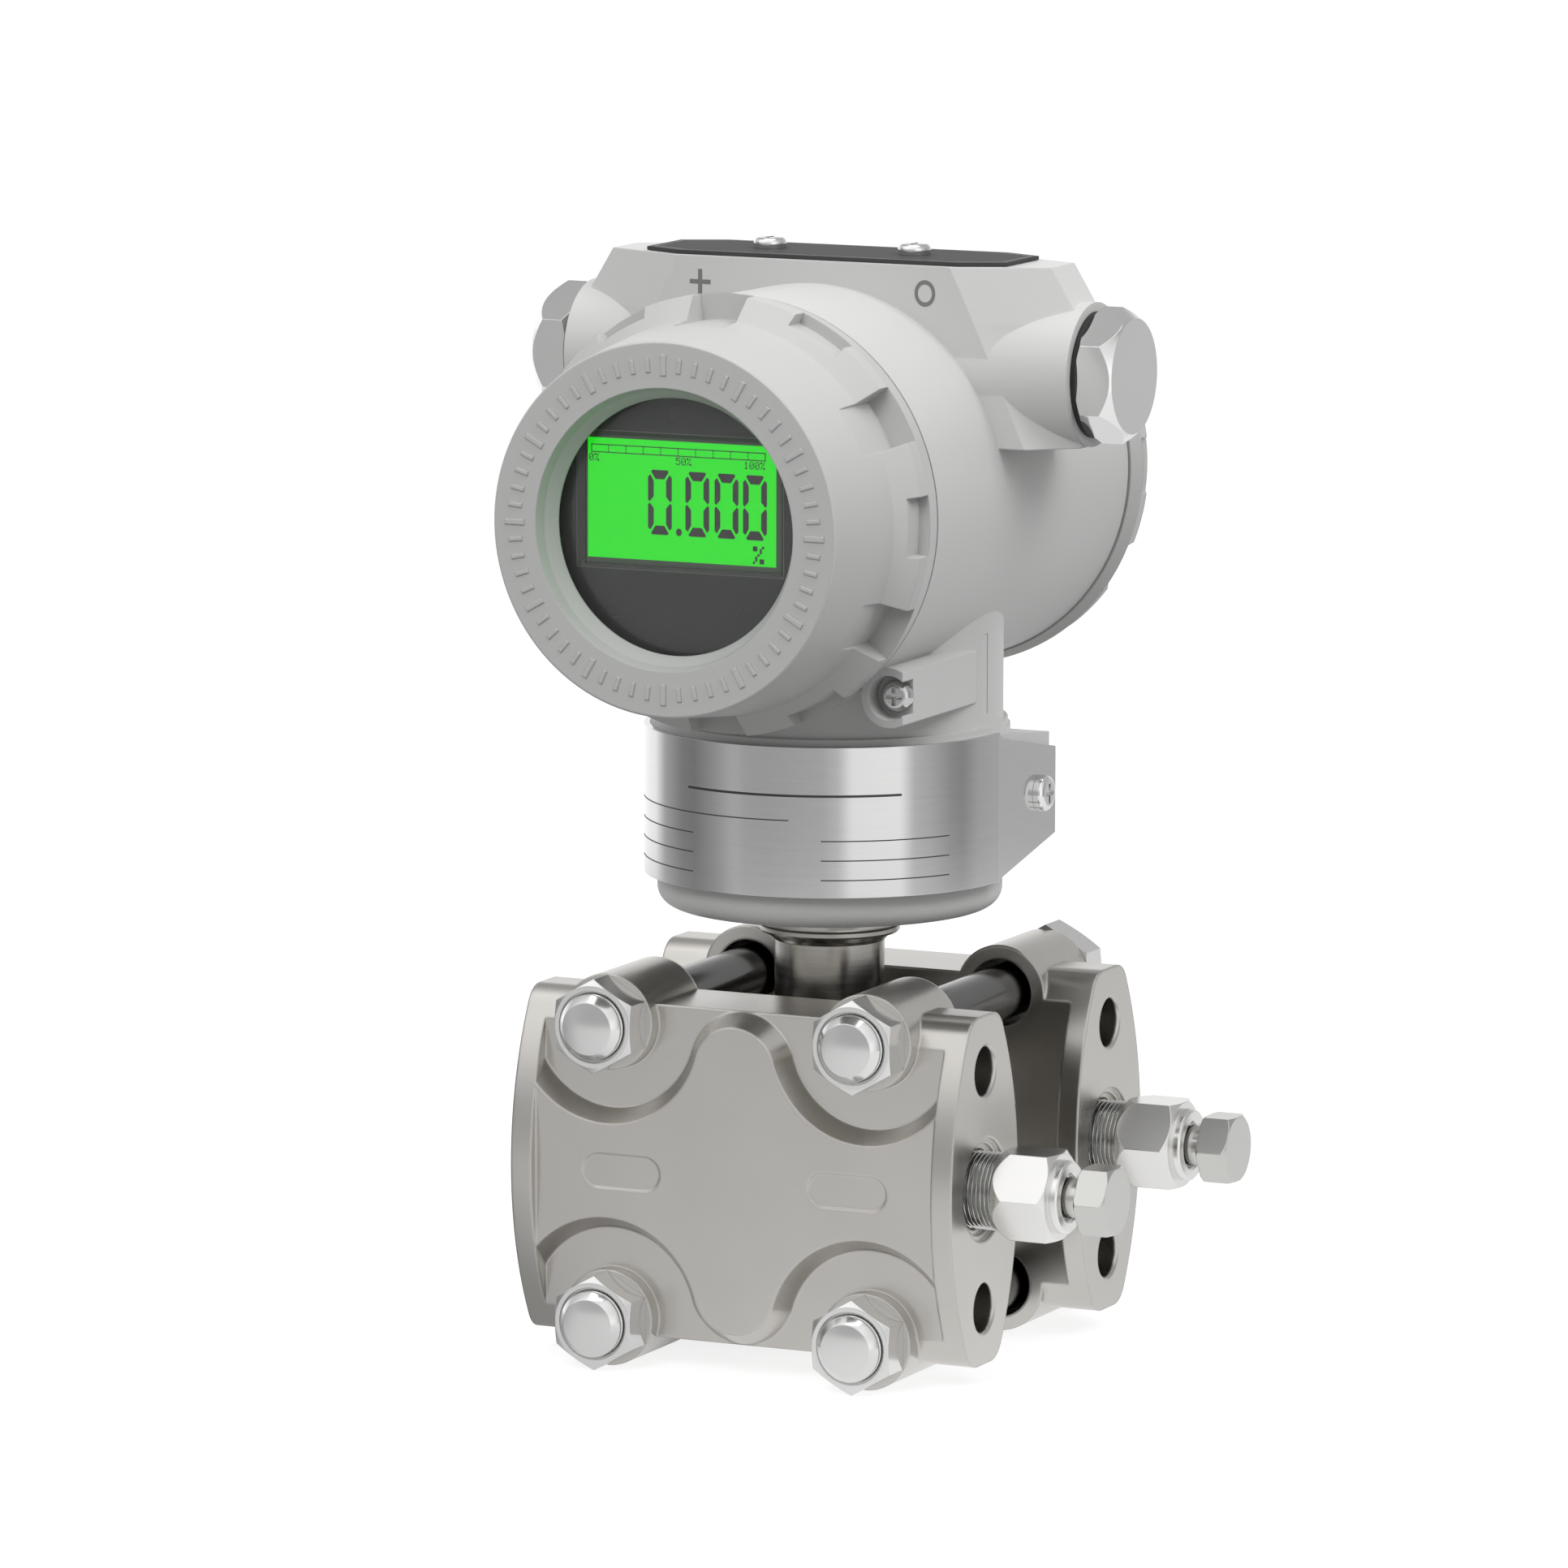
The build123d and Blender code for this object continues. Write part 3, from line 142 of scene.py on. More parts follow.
def glow(name, color, strength, shade, dim):
    """backlit display: emission with a soft unevenness"""
    mat, tree, bsdf, out = new_material(name)
    new = tree.nodes.new
    link = tree.links.new
    coord = new("ShaderNodeTexCoord")
    noise = new("ShaderNodeTexNoise")
    noise.inputs["Scale"].default_value = 35.0
    link(coord.outputs["Object"], noise.inputs["Vector"])
    ramp = new("ShaderNodeValToRGB")
    ramp.color_ramp.elements[0].color = (*[c * dim for c in color], 1)
    ramp.color_ramp.elements[1].color = (*color, 1)
    ramp.color_ramp.elements[0].position = 0.25
    ramp.color_ramp.elements[1].position = 0.6
    link(noise.outputs["Fac"], ramp.inputs[0])
    link(ramp.outputs[0], bsdf.inputs["Emission Color"])
    bsdf.inputs["Emission Strength"].default_value = strength
    bsdf.inputs["Base Color"].default_value = (*shade, 1)
    bsdf.inputs["Roughness"].default_value = 0.5
    return mat


def clear_glass(name, tint):
    """window glass that lets light through to what is behind it"""
    mat, tree, bsdf, out = new_material(name)
    new = tree.nodes.new
    link = tree.links.new
    bsdf.inputs["Transmission Weight"].default_value = 1.0
    bsdf.inputs["Base Color"].default_value = (*tint, 1)
    bsdf.inputs["IOR"].default_value = 1.3
    noise = new("ShaderNodeTexNoise")
    noise.inputs["Scale"].default_value = 40.0
    spread = new("ShaderNodeMapRange")
    spread.inputs["To Min"].default_value = 0.0
    spread.inputs["To Max"].default_value = 0.015
    link(noise.outputs["Fac"], spread.inputs["Value"])
    link(spread.outputs[0], bsdf.inputs["Roughness"])
    path = new("ShaderNodeLightPath")
    either = new("ShaderNodeMath")
    either.operation = "MAXIMUM"
    link(path.outputs["Is Shadow Ray"], either.inputs[0])
    link(path.outputs["Is Diffuse Ray"], either.inputs[1])
    through = new("ShaderNodeBsdfTransparent")
    mix = new("ShaderNodeMixShader")
    link(either.outputs[0], mix.inputs[0])
    link(bsdf.outputs[0], mix.inputs[1])
    link(through.outputs[0], mix.inputs[2])
    link(mix.outputs[0], out.inputs[0])
    return mat


PAINTED = dict(vary=0.015, scale=25, rough=0.42, rough_vary=0.03, bump=0.10, bump_scale=1400, edge=0.35)
paint = surface("paint", (0.53, 0.53, 0.525), **PAINTED)
cover_paint = surface("cover_paint", (0.47, 0.47, 0.465), **PAINTED)
cast_steel = surface("cast_steel", (0.585, 0.567, 0.54), 0.03, 70, 0.26, 0.04, metal=1.0, bump=0.08, edge=0.7)
bright_steel = surface("bright_steel", (0.75, 0.75, 0.745), 0.02, 90, 0.17, 0.03, metal=1.0, bump=0.03, edge=0.25)
# painted highlight and painted shade: the vent valve bodies take a brighter copy of the steel for the lamp's
# highlight on their hexagons, the vent screws a darker copy for their shade
vent_steel_painted_highlight = surface("vent_steel_painted_highlight", (0.80, 0.795, 0.78), 0.02, 90, 0.22, 0.03, metal=1.0, bump=0.04, edge=0.25)
stem_steel_painted_shade = surface("stem_steel_painted_shade", (0.60, 0.597, 0.58), 0.02, 90, 0.22, 0.03, metal=1.0, bump=0.04, edge=0.25)
thread_steel = surface("thread_steel", (0.55, 0.55, 0.54), 0.03, 60, 0.16, 0.03, metal=1.0, edge=0.1)
# painted shade: the bolt shanks between the flanges are coloured near black for the shade and dark reflections
# there, not for their steel
bolt_steel_painted_shade = surface("bolt_steel_painted_shade", (0.15, 0.15, 0.148), 0.03, 60, 0.18, 0.03, metal=1.0, edge=0.1)


def brighter_behind(mat, edge_y, color):
    """gives a material a second colour behind a plane: the bolt heads in their steel colour beyond the shanks,
    whose near-black colour is painted shade and painted dark reflection
    """
    tree = mat.node_tree
    bsdf = next(n for n in tree.nodes if n.type == "BSDF_PRINCIPLED")
    coord = tree.nodes.new("ShaderNodeTexCoord")
    parts = tree.nodes.new("ShaderNodeSeparateXYZ")
    tree.links.new(coord.outputs["Object"], parts.inputs[0])
    step = tree.nodes.new("ShaderNodeMapRange")
    step.inputs["From Min"].default_value = edge_y
    step.inputs["From Max"].default_value = edge_y + 0.0002
    tree.links.new(parts.outputs["Y"], step.inputs["Value"])
    mix = tree.nodes.new("ShaderNodeMix")
    mix.data_type = "RGBA"
    colors = [socket for socket in mix.inputs if socket.type == "RGBA"]
    old = bsdf.inputs["Base Color"].links[0].from_socket
    tree.links.new(step.outputs["Result"], mix.inputs[0])
    tree.links.new(old, colors[0])
    colors[1].default_value = (*color, 1)
    tree.links.new([socket for socket in mix.outputs if socket.type == "RGBA"][0], bsdf.inputs["Base Color"])


# bolts past this plane keep their steel colour; the shanks before it keep the painted shade
HEAD_SIDE_Y = 0.030
brighter_behind(bolt_steel_painted_shade, HEAD_SIDE_Y, (0.72, 0.72, 0.715))

plug_steel = surface("plug_steel", (0.80, 0.80, 0.795), 0.02, 60, 0.10, 0.02, metal=1.0, edge=0.15)
tube_steel = surface(
    "tube_steel", (0.40, 0.385, 0.36), 0.06, 90, 0.22, 0.05, metal=1.0, bump=0.10, edge=0.15, stretch=(1, 1, 22)
)
band_steel = surface(
    "band_steel", (0.62, 0.62, 0.617), 0.015, 120, 0.11, 0.015, metal=1.0, bump=0.015, edge=0.1, stretch=(1, 1, 12)
)
chrome = surface("chrome", (0.80, 0.80, 0.80), 0.02, 150, 0.08, 0.02, metal=1.0, edge=0.12)
dark_chrome = surface("dark_chrome", (0.55, 0.55, 0.545), 0.04, 150, 0.14, 0.03, metal=1.0, edge=0.12)
rubber = surface("rubber", (0.012, 0.012, 0.012), 0.2, 200, 0.55, 0.05, bump=0.1)
seam_painted_shade = surface("seam_painted_shade", (0.02, 0.02, 0.02), 0.1, 120, 0.7, 0.05, spec=0.2)
gasket = surface("gasket", (0.55, 0.55, 0.52), 0.04, 90, 0.5, 0.05, bump=0.1)
brass = surface("brass", (0.70, 0.48, 0.18), 0.04, 90, 0.28, 0.05, metal=1.0, edge=0.1)
bezel_black = surface("bezel_black", (0.02, 0.02, 0.0195), 0.03, 12, 0.5, 0.02, stretch=(6, 1, 1))
# painted shade: the key dimples are coloured darker than the bezel for the shade in them
key_painted_shade = surface("key_painted_shade", (0.014, 0.014, 0.014), 0.06, 60, 0.4, 0.04)
board_green = surface("board_green", (0.02, 0.12, 0.05), 0.15, 120, 0.4, 0.08, bump=0.2)
black_plastic = surface("black_plastic", (0.02, 0.02, 0.02), 0.1, 90, 0.45, 0.05, bump=0.1, edge=0.2)
plate_dark = surface("plate_dark", (0.055, 0.055, 0.055), 0.05, 90, 0.6, 0.04, bump=0.04, spec=0.12)
# painted highlight: lighter grey for the line round the display opening
opening_highlight_grey = surface("opening_highlight_grey", (0.10, 0.10, 0.10), 0.05, 90, 0.5, 0.03)
plate_line = surface("plate_line", (0.22, 0.22, 0.22), 0.05, 90, 0.35, 0.04, metal=0.5)
button_grey = surface("button_grey", (0.15, 0.15, 0.15), 0.05, 90, 0.45, 0.05, edge=0.1)
glass = clear_glass("glass", (0.97, 0.99, 0.975))
lcd_green = glow("lcd_green", (0.008, 0.70, 0.006), 1.0, (0.004, 0.012, 0.004), 0.94)
segment_dark = surface("segment_dark", (0.034, 0.026, 0.034), 0.05, 90, 0.5, 0.03)
lcd_edge = surface("lcd_edge", (0.045, 0.06, 0.045), 0.05, 90, 0.35, 0.03)
mark_grey = surface("mark_grey", (0.17, 0.17, 0.168), 0.04, 60, 0.5, 0.04)
print_black = surface("print_black", (0.045, 0.045, 0.045), 0.05, 60, 0.5, 0.04)

looks = {
    "housing": paint,
    "front_cover": cover_paint,
    "rear_cover": cover_paint,
    "front_process_flange": cast_steel,
    "rear_process_flange": cast_steel,
    "flange_bolts": bolt_steel_painted_shade,
    "flange_nuts": bright_steel,
    "vent_valve_front": vent_steel_painted_highlight,
    "vent_valve_rear": vent_steel_painted_highlight,
    "vent_stem_front": stem_steel_painted_shade,
    "vent_stem_rear": stem_steel_painted_shade,
    "conduit_plug_left": plug_steel,
    "conduit_plug_right": plug_steel,
    "sensor_capsule": tube_steel,
    "neck_clip": bright_steel,
    "front_diaphragm": bright_steel,
    "rear_diaphragm": bright_steel,
    "window_retainer": bright_steel,
    "board_standoffs": bright_steel,
    "neck_seal": rubber,
    "front_cover_seal": rubber,
    "rear_cover_seal": rubber,
    "conduit_seal_left": rubber,
    "conduit_seal_right": rubber,
    "front_capsule_gasket": gasket,
    "rear_capsule_gasket": gasket,
    "nameplate_screws": chrome,
    "label_band_screw": chrome,
    "cover_lock_screw": dark_chrome,
    "terminal_screws": brass,
    "window_glass": glass,
    "display_module": bezel_black,
    "display_keys": key_painted_shade,
    "lcd_panel": lcd_edge,
    "electronics_board": board_green,
    "terminal_block": black_plastic,
    "nameplate": plate_dark,
    "label_band": band_steel,
    "zero_button": button_grey,
    "span_button": button_grey,
}
for name, mat in looks.items():
    mesh = nodes[name].data
    if not mesh.materials:
        mesh.materials.append(mat)
    for index in range(len(mesh.materials)):
        mesh.materials[index] = mat


# mesh helpers


def piece(name, verts, faces, mat, body, smooth=False):
    """a mesh piece in millimetres that rides a body"""
    mesh = bpy.data.meshes.new(name)
    mesh.from_pydata([(x * MM, y * MM, z * MM) for x, y, z in verts], [], faces)
    mesh.materials.append(mat)
    for poly in mesh.polygons:
        poly.use_smooth = smooth
    obj = bpy.data.objects.new(name, mesh)
    scene.collection.objects.link(obj)
    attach(obj, body)
    return obj


def along(origin, axis, across, t, r, angle):
    """point at distance t along an axis and radius r about it"""
    up = axis.cross(across)
    spot = origin + axis * t + (across * math.cos(angle) + up * math.sin(angle)) * r
    return tuple(spot)


def thread(name, origin, axis, across, start, end, root, crest, pitch, mat, body, around=72):
    """closed screw thread: a helical ridge on a core, run out at both ends"""
    origin, axis, across = Vector(origin), Vector(axis), Vector(across)
    rows = max(6, int((end - start) / pitch * 8))
    verts, faces = [], []
    for i in range(rows + 1):
        t = start + (end - start) * i / rows
        fade = min(1.0, (t - start) / (0.4 * pitch), (end - t) / (0.4 * pitch))
        for j in range(around):
            turn = (t / pitch - j / around) % 1.0
            tooth = 1 - abs(2 * turn - 1)
            tooth = min(1.0, max(0.0, (tooth - 0.12) / 0.76))
            r = root + (crest - root) * tooth * max(0.0, fade)
            verts.append(along(origin, axis, across, t, r, 2 * math.pi * j / around))
    for i in range(rows):
        for j in range(around):
            k = (j + 1) % around
            a, b = i * around + j, i * around + k
            faces.append((a, b, b + around, a + around))
    faces.append(tuple(reversed(range(around))))
    faces.append(tuple(rows * around + j for j in range(around)))
    return piece(name, verts, faces, mat, body, smooth=False)


def fix_normals(obj):
    bm = bmesh.new()
    bm.from_mesh(obj.data)
    bmesh.ops.recalc_face_normals(bm, faces=bm.faces)
    bm.to_mesh(obj.data)
    bm.free()


def flat_marks(name, shapes, y, thick, mat, body):
    """several flat outlines of x and z in one piece"""
    verts, faces = [], []
    for outline in shapes:
        count, first = len(outline), len(verts)
        verts += [(x, y, z) for x, z in outline] + [(x, y + thick, z) for x, z in outline]
        faces.append(tuple(first + i for i in range(count)))
        faces.append(tuple(first + count + i for i in reversed(range(count))))
        for i in range(count):
            j = (i + 1) % count
            faces.append((first + j, first + i, first + i + count, first + j + count))
    obj = piece(name, verts, faces, mat, body)
    fix_normals(obj)
    return obj


def rect(x0, x1, z0, z1):
    """corners of a rectangle of x and z"""
    return [(x0, z0), (x1, z0), (x1, z1), (x0, z1)]


# lit display

LCD_LEFT, LCD_RIGHT, LCD_LOW, LCD_HIGH = -18.0, 17.2, PORT_Z + 109.9, PORT_Z + 130.3
LIGHT_Y, LIGHT_THICK = LCD_Y - 0.03, 0.05
MARK_Y, MARK_THICK = LCD_Y - 0.06, 0.02
screen = rect(LCD_LEFT, LCD_RIGHT, LCD_LOW, LCD_HIGH)
flat_marks("lcd_light", [screen], LIGHT_Y, LIGHT_THICK, lcd_green, "housing")

# scale bar with ten divisions
BAR_LEFT, BAR_RIGHT, BAR_LOW, BAR_HIGH = -17.36, 15.26, PORT_Z + 127.75, PORT_Z + 129.2
LINE, DASH_HALF, DIVISIONS = 0.17, 0.09, 10
bar = [
    rect(BAR_LEFT, BAR_RIGHT, BAR_LOW, BAR_LOW + LINE),
    rect(BAR_LEFT, BAR_RIGHT, BAR_HIGH - LINE, BAR_HIGH),
    rect(BAR_LEFT, BAR_LEFT + LINE, BAR_LOW, BAR_HIGH),
    rect(BAR_RIGHT - LINE, BAR_RIGHT, BAR_LOW, BAR_HIGH),
]
for i in range(1, DIVISIONS):
    x = BAR_LEFT + (BAR_RIGHT - BAR_LEFT) * i / DIVISIONS
    left, right = x - DASH_HALF, x + DASH_HALF
    bar.append(rect(left, right, BAR_LOW + 0.15, BAR_LOW + 0.42))
    bar.append(rect(left, right, BAR_LOW + 0.55, BAR_HIGH - 0.55))
    bar.append(rect(left, right, BAR_HIGH - 0.42, BAR_HIGH - 0.15))
flat_marks("lcd_bar", bar, MARK_Y, MARK_THICK, segment_dark, "housing")

GLYPHS = {
    "0": ("01110", "10001", "10011", "10101", "11001", "10001", "01110"),
    "1": ("00100", "01100", "00100", "00100", "00100", "00100", "01110"),
    "5": ("11111", "10000", "11110", "00001", "00001", "10001", "01110"),
    "%": ("11001", "11010", "00010", "00100", "01000", "01011", "10011"),
}


def dot_text(text, left, low, cell_w, cell_h):
    """rows of joined dots that make small display figures"""
    shapes = []
    for place, sign in enumerate(text):
        x0 = left + place * 6 * cell_w
        for row, bits in enumerate(GLYPHS[sign]):
            z1 = low + (7 - row) * cell_h
            start = None
            for col, bit in enumerate(bits + "0"):
                if bit == "1" and start is None:
                    start = col
                if bit == "0" and start is not None:
                    shapes.append(rect(x0 + start * cell_w, x0 + col * cell_w, z1 - cell_h, z1))
                    start = None
    return shapes


LABEL_LOW, LABEL_CELL, UNIT_CELL = PORT_Z + 126.3, (0.17, 0.185), (0.42, 0.43)
labels = dot_text("%", 12.9, PORT_Z + 110.3, *UNIT_CELL)
for text, left in (("0%", -17.75), ("50%", -1.5), ("100%", 11.2)):
    labels += dot_text(text, left, LABEL_LOW, *LABEL_CELL)
flat_marks("lcd_labels", labels, MARK_Y, MARK_THICK, segment_dark, "housing")

DIGIT_W, DIGIT_H, DIGIT_LOW = 4.45, 11.0, PORT_Z + 114.3
SIDE_STROKE = [(0.45, 10.2), (0.0, 9.8), (0.0, 5.95), (0.3, 5.6), (1.07, 6.5), (1.07, 9.15)]
END_STROKE = [(0.8, 11.0), (3.65, 11.0), (3.87, 10.7), (3.05, 9.45), (1.4, 9.45), (0.58, 10.7)]
digits = []
for left in (-6.68, 0.31, 5.76, 11.05):
    for flip_x in (False, True):
        for flip_z in (False, True):
            digits.append(
                [
                    (left + (DIGIT_W - x if flip_x else x), DIGIT_LOW + (DIGIT_H - z if flip_z else z))
                    for x, z in SIDE_STROKE
                ]
            )
    for flip_z in (False, True):
        digits.append([(left + x, DIGIT_LOW + (DIGIT_H - z if flip_z else z)) for x, z in END_STROKE])
POINT_X, POINT_Z, POINT_HALF_W, POINT_HALF_H = -0.9, DIGIT_LOW + 0.6, 0.55, 0.65
point = [k * math.pi / 8 for k in range(16)]
digits.append([(POINT_X + POINT_HALF_W * math.cos(by), POINT_Z + POINT_HALF_H * math.sin(by)) for by in point])
flat_marks("lcd_digits", digits, MARK_Y, MARK_THICK, segment_dark, "housing")

# sloped edge of the display opening, cut from the display body
OPEN_OUT = (-19.6, 18.9, PORT_Z + 108.3, PORT_Z + 131.6)
OPEN_IN = (-18.02, 17.3, PORT_Z + 109.8, PORT_Z + 130.4)


def frustum(name, near, far, near_y, far_y):
    """hidden cutting tool with sloped sides between two rectangles"""
    x0, x1, z0, z1 = near
    u0, u1, w0, w1 = far
    verts = [(x0, near_y, z0), (x1, near_y, z0), (x1, near_y, z1), (x0, near_y, z1)]
    verts += [(u0, far_y, w0), (u1, far_y, w0), (u1, far_y, w1), (u0, far_y, w1)]
    faces = [(0, 1, 2, 3), (7, 6, 5, 4), (1, 0, 4, 5), (2, 1, 5, 6), (3, 2, 6, 7), (0, 3, 7, 4)]
    obj = piece(name, verts, faces, bezel_black, "housing")
    fix_normals(obj)
    obj.hide_render = True
    obj.hide_viewport = True
    return obj


CUT_PAST = 0.02
opening_cutter = frustum("opening_cutter", OPEN_OUT, OPEN_IN, MODULE_FACE_Y - CUT_PAST, LCD_Y - CUT_PAST)
cut = nodes["display_module"].modifiers.new("opening", "BOOLEAN")
cut.operation = "DIFFERENCE"
cut.solver = "EXACT"
cut.object = opening_cutter

# painted highlight: a light line round the display opening where its edge catches the light
EDGE = 0.14
x0, x1, z0, z1 = OPEN_OUT
edge_lines = [
    rect(x0 - EDGE, x0, z0 - EDGE, z1 + EDGE),
    rect(x1, x1 + EDGE, z0 - EDGE, z1 + EDGE),
    rect(x0, x1, z0 - EDGE, z0),
    rect(x0, x1, z1, z1 + EDGE),
]
flat_marks("opening_painted_highlight", edge_lines, MODULE_FACE_Y - 0.03, 0.05, opening_highlight_grey, "housing")

# crowned ends of the bolts where they stand out of the nuts


def turned(name, place, profile, mat, body, steps=48):
    """closed shape turned about a line along Y, from radii and distances in front of the centre plane"""
    cx, cz = place
    verts, faces = [], []
    for r, reach in profile[:-1]:
        for k in range(steps):
            by = 2 * math.pi * k / steps
            verts.append((cx + r * math.cos(by), -reach, cz + r * math.sin(by)))
    verts.append((cx, -profile[-1][1], cz))
    rows = len(profile) - 1
    for i in range(rows - 1):
        for k in range(steps):
            j = (k + 1) % steps
            faces.append((i * steps + k, i * steps + j, (i + 1) * steps + j, (i + 1) * steps + k))
    for k in range(steps):
        faces.append(((rows - 1) * steps + k, (rows - 1) * steps + (k + 1) % steps, rows * steps))
    faces.append(tuple(range(steps)))
    obj = piece(name, verts, faces, mat, body, smooth=True)
    fix_normals(obj)
    obj.data.set_sharp_from_angle(angle=math.radians(28))
    return obj


NUT_FACE_REACH = 44.6
BOLT_END = [
    (BOLT_R + 0.04, NUT_FACE_REACH - 0.75),
    (BOLT_R + 0.24, NUT_FACE_REACH - 0.5),
    (BOLT_R + 0.24, NUT_FACE_REACH - 0.2),
    (BOLT_R + 0.03, NUT_FACE_REACH),
    (BOLT_R + 0.03, NUT_FACE_REACH + 0.2),
    (BOLT_R + 0.22, NUT_FACE_REACH + 0.38),
    (BOLT_R + 0.22, NUT_FACE_REACH + 0.8),
    (BOLT_R + 0.04, NUT_FACE_REACH + 1.08),
]
TIP_R, TIP_CROWN, TIP_STEPS = BOLT_R - 0.98, 0.42, 8
for k in range(TIP_STEPS + 1):
    slope = math.pi / 2 * k / TIP_STEPS
    BOLT_END.append((TIP_R * math.cos(slope), BOLT_TIP_Y + 0.04 + TIP_CROWN * math.sin(slope) ** 2))
for i, (sx, sz) in enumerate(((-1, -1), (-1, 1), (1, -1), (1, 1))):
    spot = (sx * BOLT_X, PORT_Z + sz * BOLT_Z)
    turned(f"bolt_end_{i + 1}", spot, BOLT_END, bright_steel, "process_body")

# shaped hexagon pieces: plugs, vent valves and their stems


def raw_mesh(verts, faces):
    """unnamed solid in millimetres that carved() uses up"""
    mesh = bpy.data.meshes.new("raw")
    mesh.from_pydata([(x * MM, y * MM, z * MM) for x, y, z in verts], [], faces)
    obj = bpy.data.objects.new("raw", mesh)
    scene.collection.objects.link(obj)
    fix_normals(obj)
    return obj


def raw_turned(origin, axis, across, profile, steps=96):
    """solid turned about an axis, from distances along it and radii, with flat ends"""
    origin, axis, across = Vector(origin), Vector(axis), Vector(across)
    verts, faces = [], []
    for t, r in profile:
        for k in range(steps):
            verts.append(along(origin, axis, across, t, r, 2 * math.pi * (k + 0.5) / steps))
    for i in range(len(profile) - 1):
        for k in range(steps):
            j = (k + 1) % steps
            faces.append((i * steps + k, i * steps + j, (i + 1) * steps + j, (i + 1) * steps + k))
    faces.append(tuple(range(steps)))
    faces.append(tuple((len(profile) - 1) * steps + k for k in range(steps)))
    return raw_mesh(verts, faces)


def raw_hexagon(origin, axis, across, start, end, flats, turn_by):
    """hexagon bar along an axis, with a corner at the angle turn_by"""
    origin, axis, across = Vector(origin), Vector(axis), Vector(across)
    reach = flats / math.sqrt(3)
    turns = [turn_by + k * math.pi / 3 for k in range(6)]
    verts = [along(origin, axis, across, t, reach, by) for t in (start, end) for by in turns]
    faces = [(k, (k + 1) % 6, 6 + (k + 1) % 6, 6 + k) for k in range(6)]
    faces += [tuple(range(6)), tuple(range(6, 12))]
    return raw_mesh(verts, faces)


def carved(name, base, steps, mat, body):
    """one piece from a base solid and the solids that cut or join it"""
    for operation, tool in steps:
        change = base.modifiers.new("step", "BOOLEAN")
        change.operation = operation
        change.solver = "EXACT"
        change.object = tool
    bpy.context.view_layer.update()
    shown = base.evaluated_get(bpy.context.evaluated_depsgraph_get())
    mesh = bpy.data.meshes.new_from_object(shown)
    for old in [base] + [tool for _, tool in steps]:
        bpy.data.objects.remove(old, do_unlink=True)
    mesh.materials.clear()
    mesh.materials.append(mat)
    for poly in mesh.polygons:
        poly.use_smooth = True
        poly.material_index = 0
    mesh.set_sharp_from_angle(angle=math.radians(22))
    obj = bpy.data.objects.new(name, mesh)
    scene.collection.objects.link(obj)
    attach(obj, body)
    return obj


def corner_cut(start, end, flats, near_r, near_long, far_r, far_long):
    """turning profile that rounds the corners of a hexagon at both ends"""
    corner = flats / math.sqrt(3) + 0.05
    return [(start, near_r), (start + near_long, corner), (end - far_long, corner), (end, far_r)]


ENTRY_X, ENTRY_BORE_R = 47.9, 9.9
PLUG_AF, PLUG_START, PLUG_H, PLUG_SHANK = 20.6, 0.4, 7.0, 13.9
PLUG_CORNERS = (10.1, 1.2, 10.0, 2.3)
PLUG_SHANK_R = ENTRY_BORE_R - 0.06
for word, direction in (("left", -1), ("right", 1)):
    place = ((0, ENTRY_Y, ENTRY_Z), (direction, 0, 0), (0, 1, 0))
    start, end = ENTRY_X + PLUG_START, ENTRY_X + PLUG_START + PLUG_H
    plug = raw_hexagon(*place, start, end, PLUG_AF, math.pi / 6)
    rounding = raw_turned(*place, corner_cut(start, end, PLUG_AF, *PLUG_CORNERS))
    shank = raw_turned(*place, [(ENTRY_X - PLUG_SHANK, PLUG_SHANK_R), (start + 0.5, PLUG_SHANK_R)])
    changes = [("INTERSECT", rounding), ("UNION", shank)]
    head = carved(f"plug_{word}", plug, changes, plug_steel, "housing")
    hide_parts(f"conduit_plug_{word}")

VENT_AF, COLLAR_R, COLLAR_END, CUP_R = 15.0, 6.3, 58.0, 4.0
STEM_START, STEM_R, STEM_HEX_X, STEM_HEX_END, STEM_AF = 41.0, 3.45, 61.0, 66.6, 11.4
VENT_CORNERS, STEM_CORNERS = (7.35, 2.6, 7.45, 1.1), (6.1, 0.5, 5.75, 0.7)
PASSAGE_R, SIDE_HOLE_X, SIDE_HOLE_R = 1.6, 52, 1.2
VENT_CORE = [
    (VENT_SHANK_X, 6.0),
    (VENT_SHANK_X + 0.3, 6.26),
    (VENT_START, 6.26),
    (VENT_START + 0.1, VENT_ROOT + 0.02),
    (VENT_HEX_X - 0.3, VENT_ROOT + 0.02),
    (VENT_HEX_X + 1.0, VENT_ROOT + 0.6),
    (VENT_HEX_END - 1, COLLAR_R),
    (COLLAR_END - 0.35, COLLAR_R),
    (COLLAR_END, COLLAR_R - 0.35),
]
VENT_BORE = [
    (VENT_SHANK_X - 1, PASSAGE_R),
    (STEM_START - 1, PASSAGE_R),
    (STEM_START - 0.9, STEM_R + 0.05),
    (COLLAR_END - 1.5, STEM_R + 0.05),
    (COLLAR_END - 1.4, CUP_R),
    (COLLAR_END - 0.4, CUP_R),
    (COLLAR_END + 0.2, CUP_R + 0.6),
]
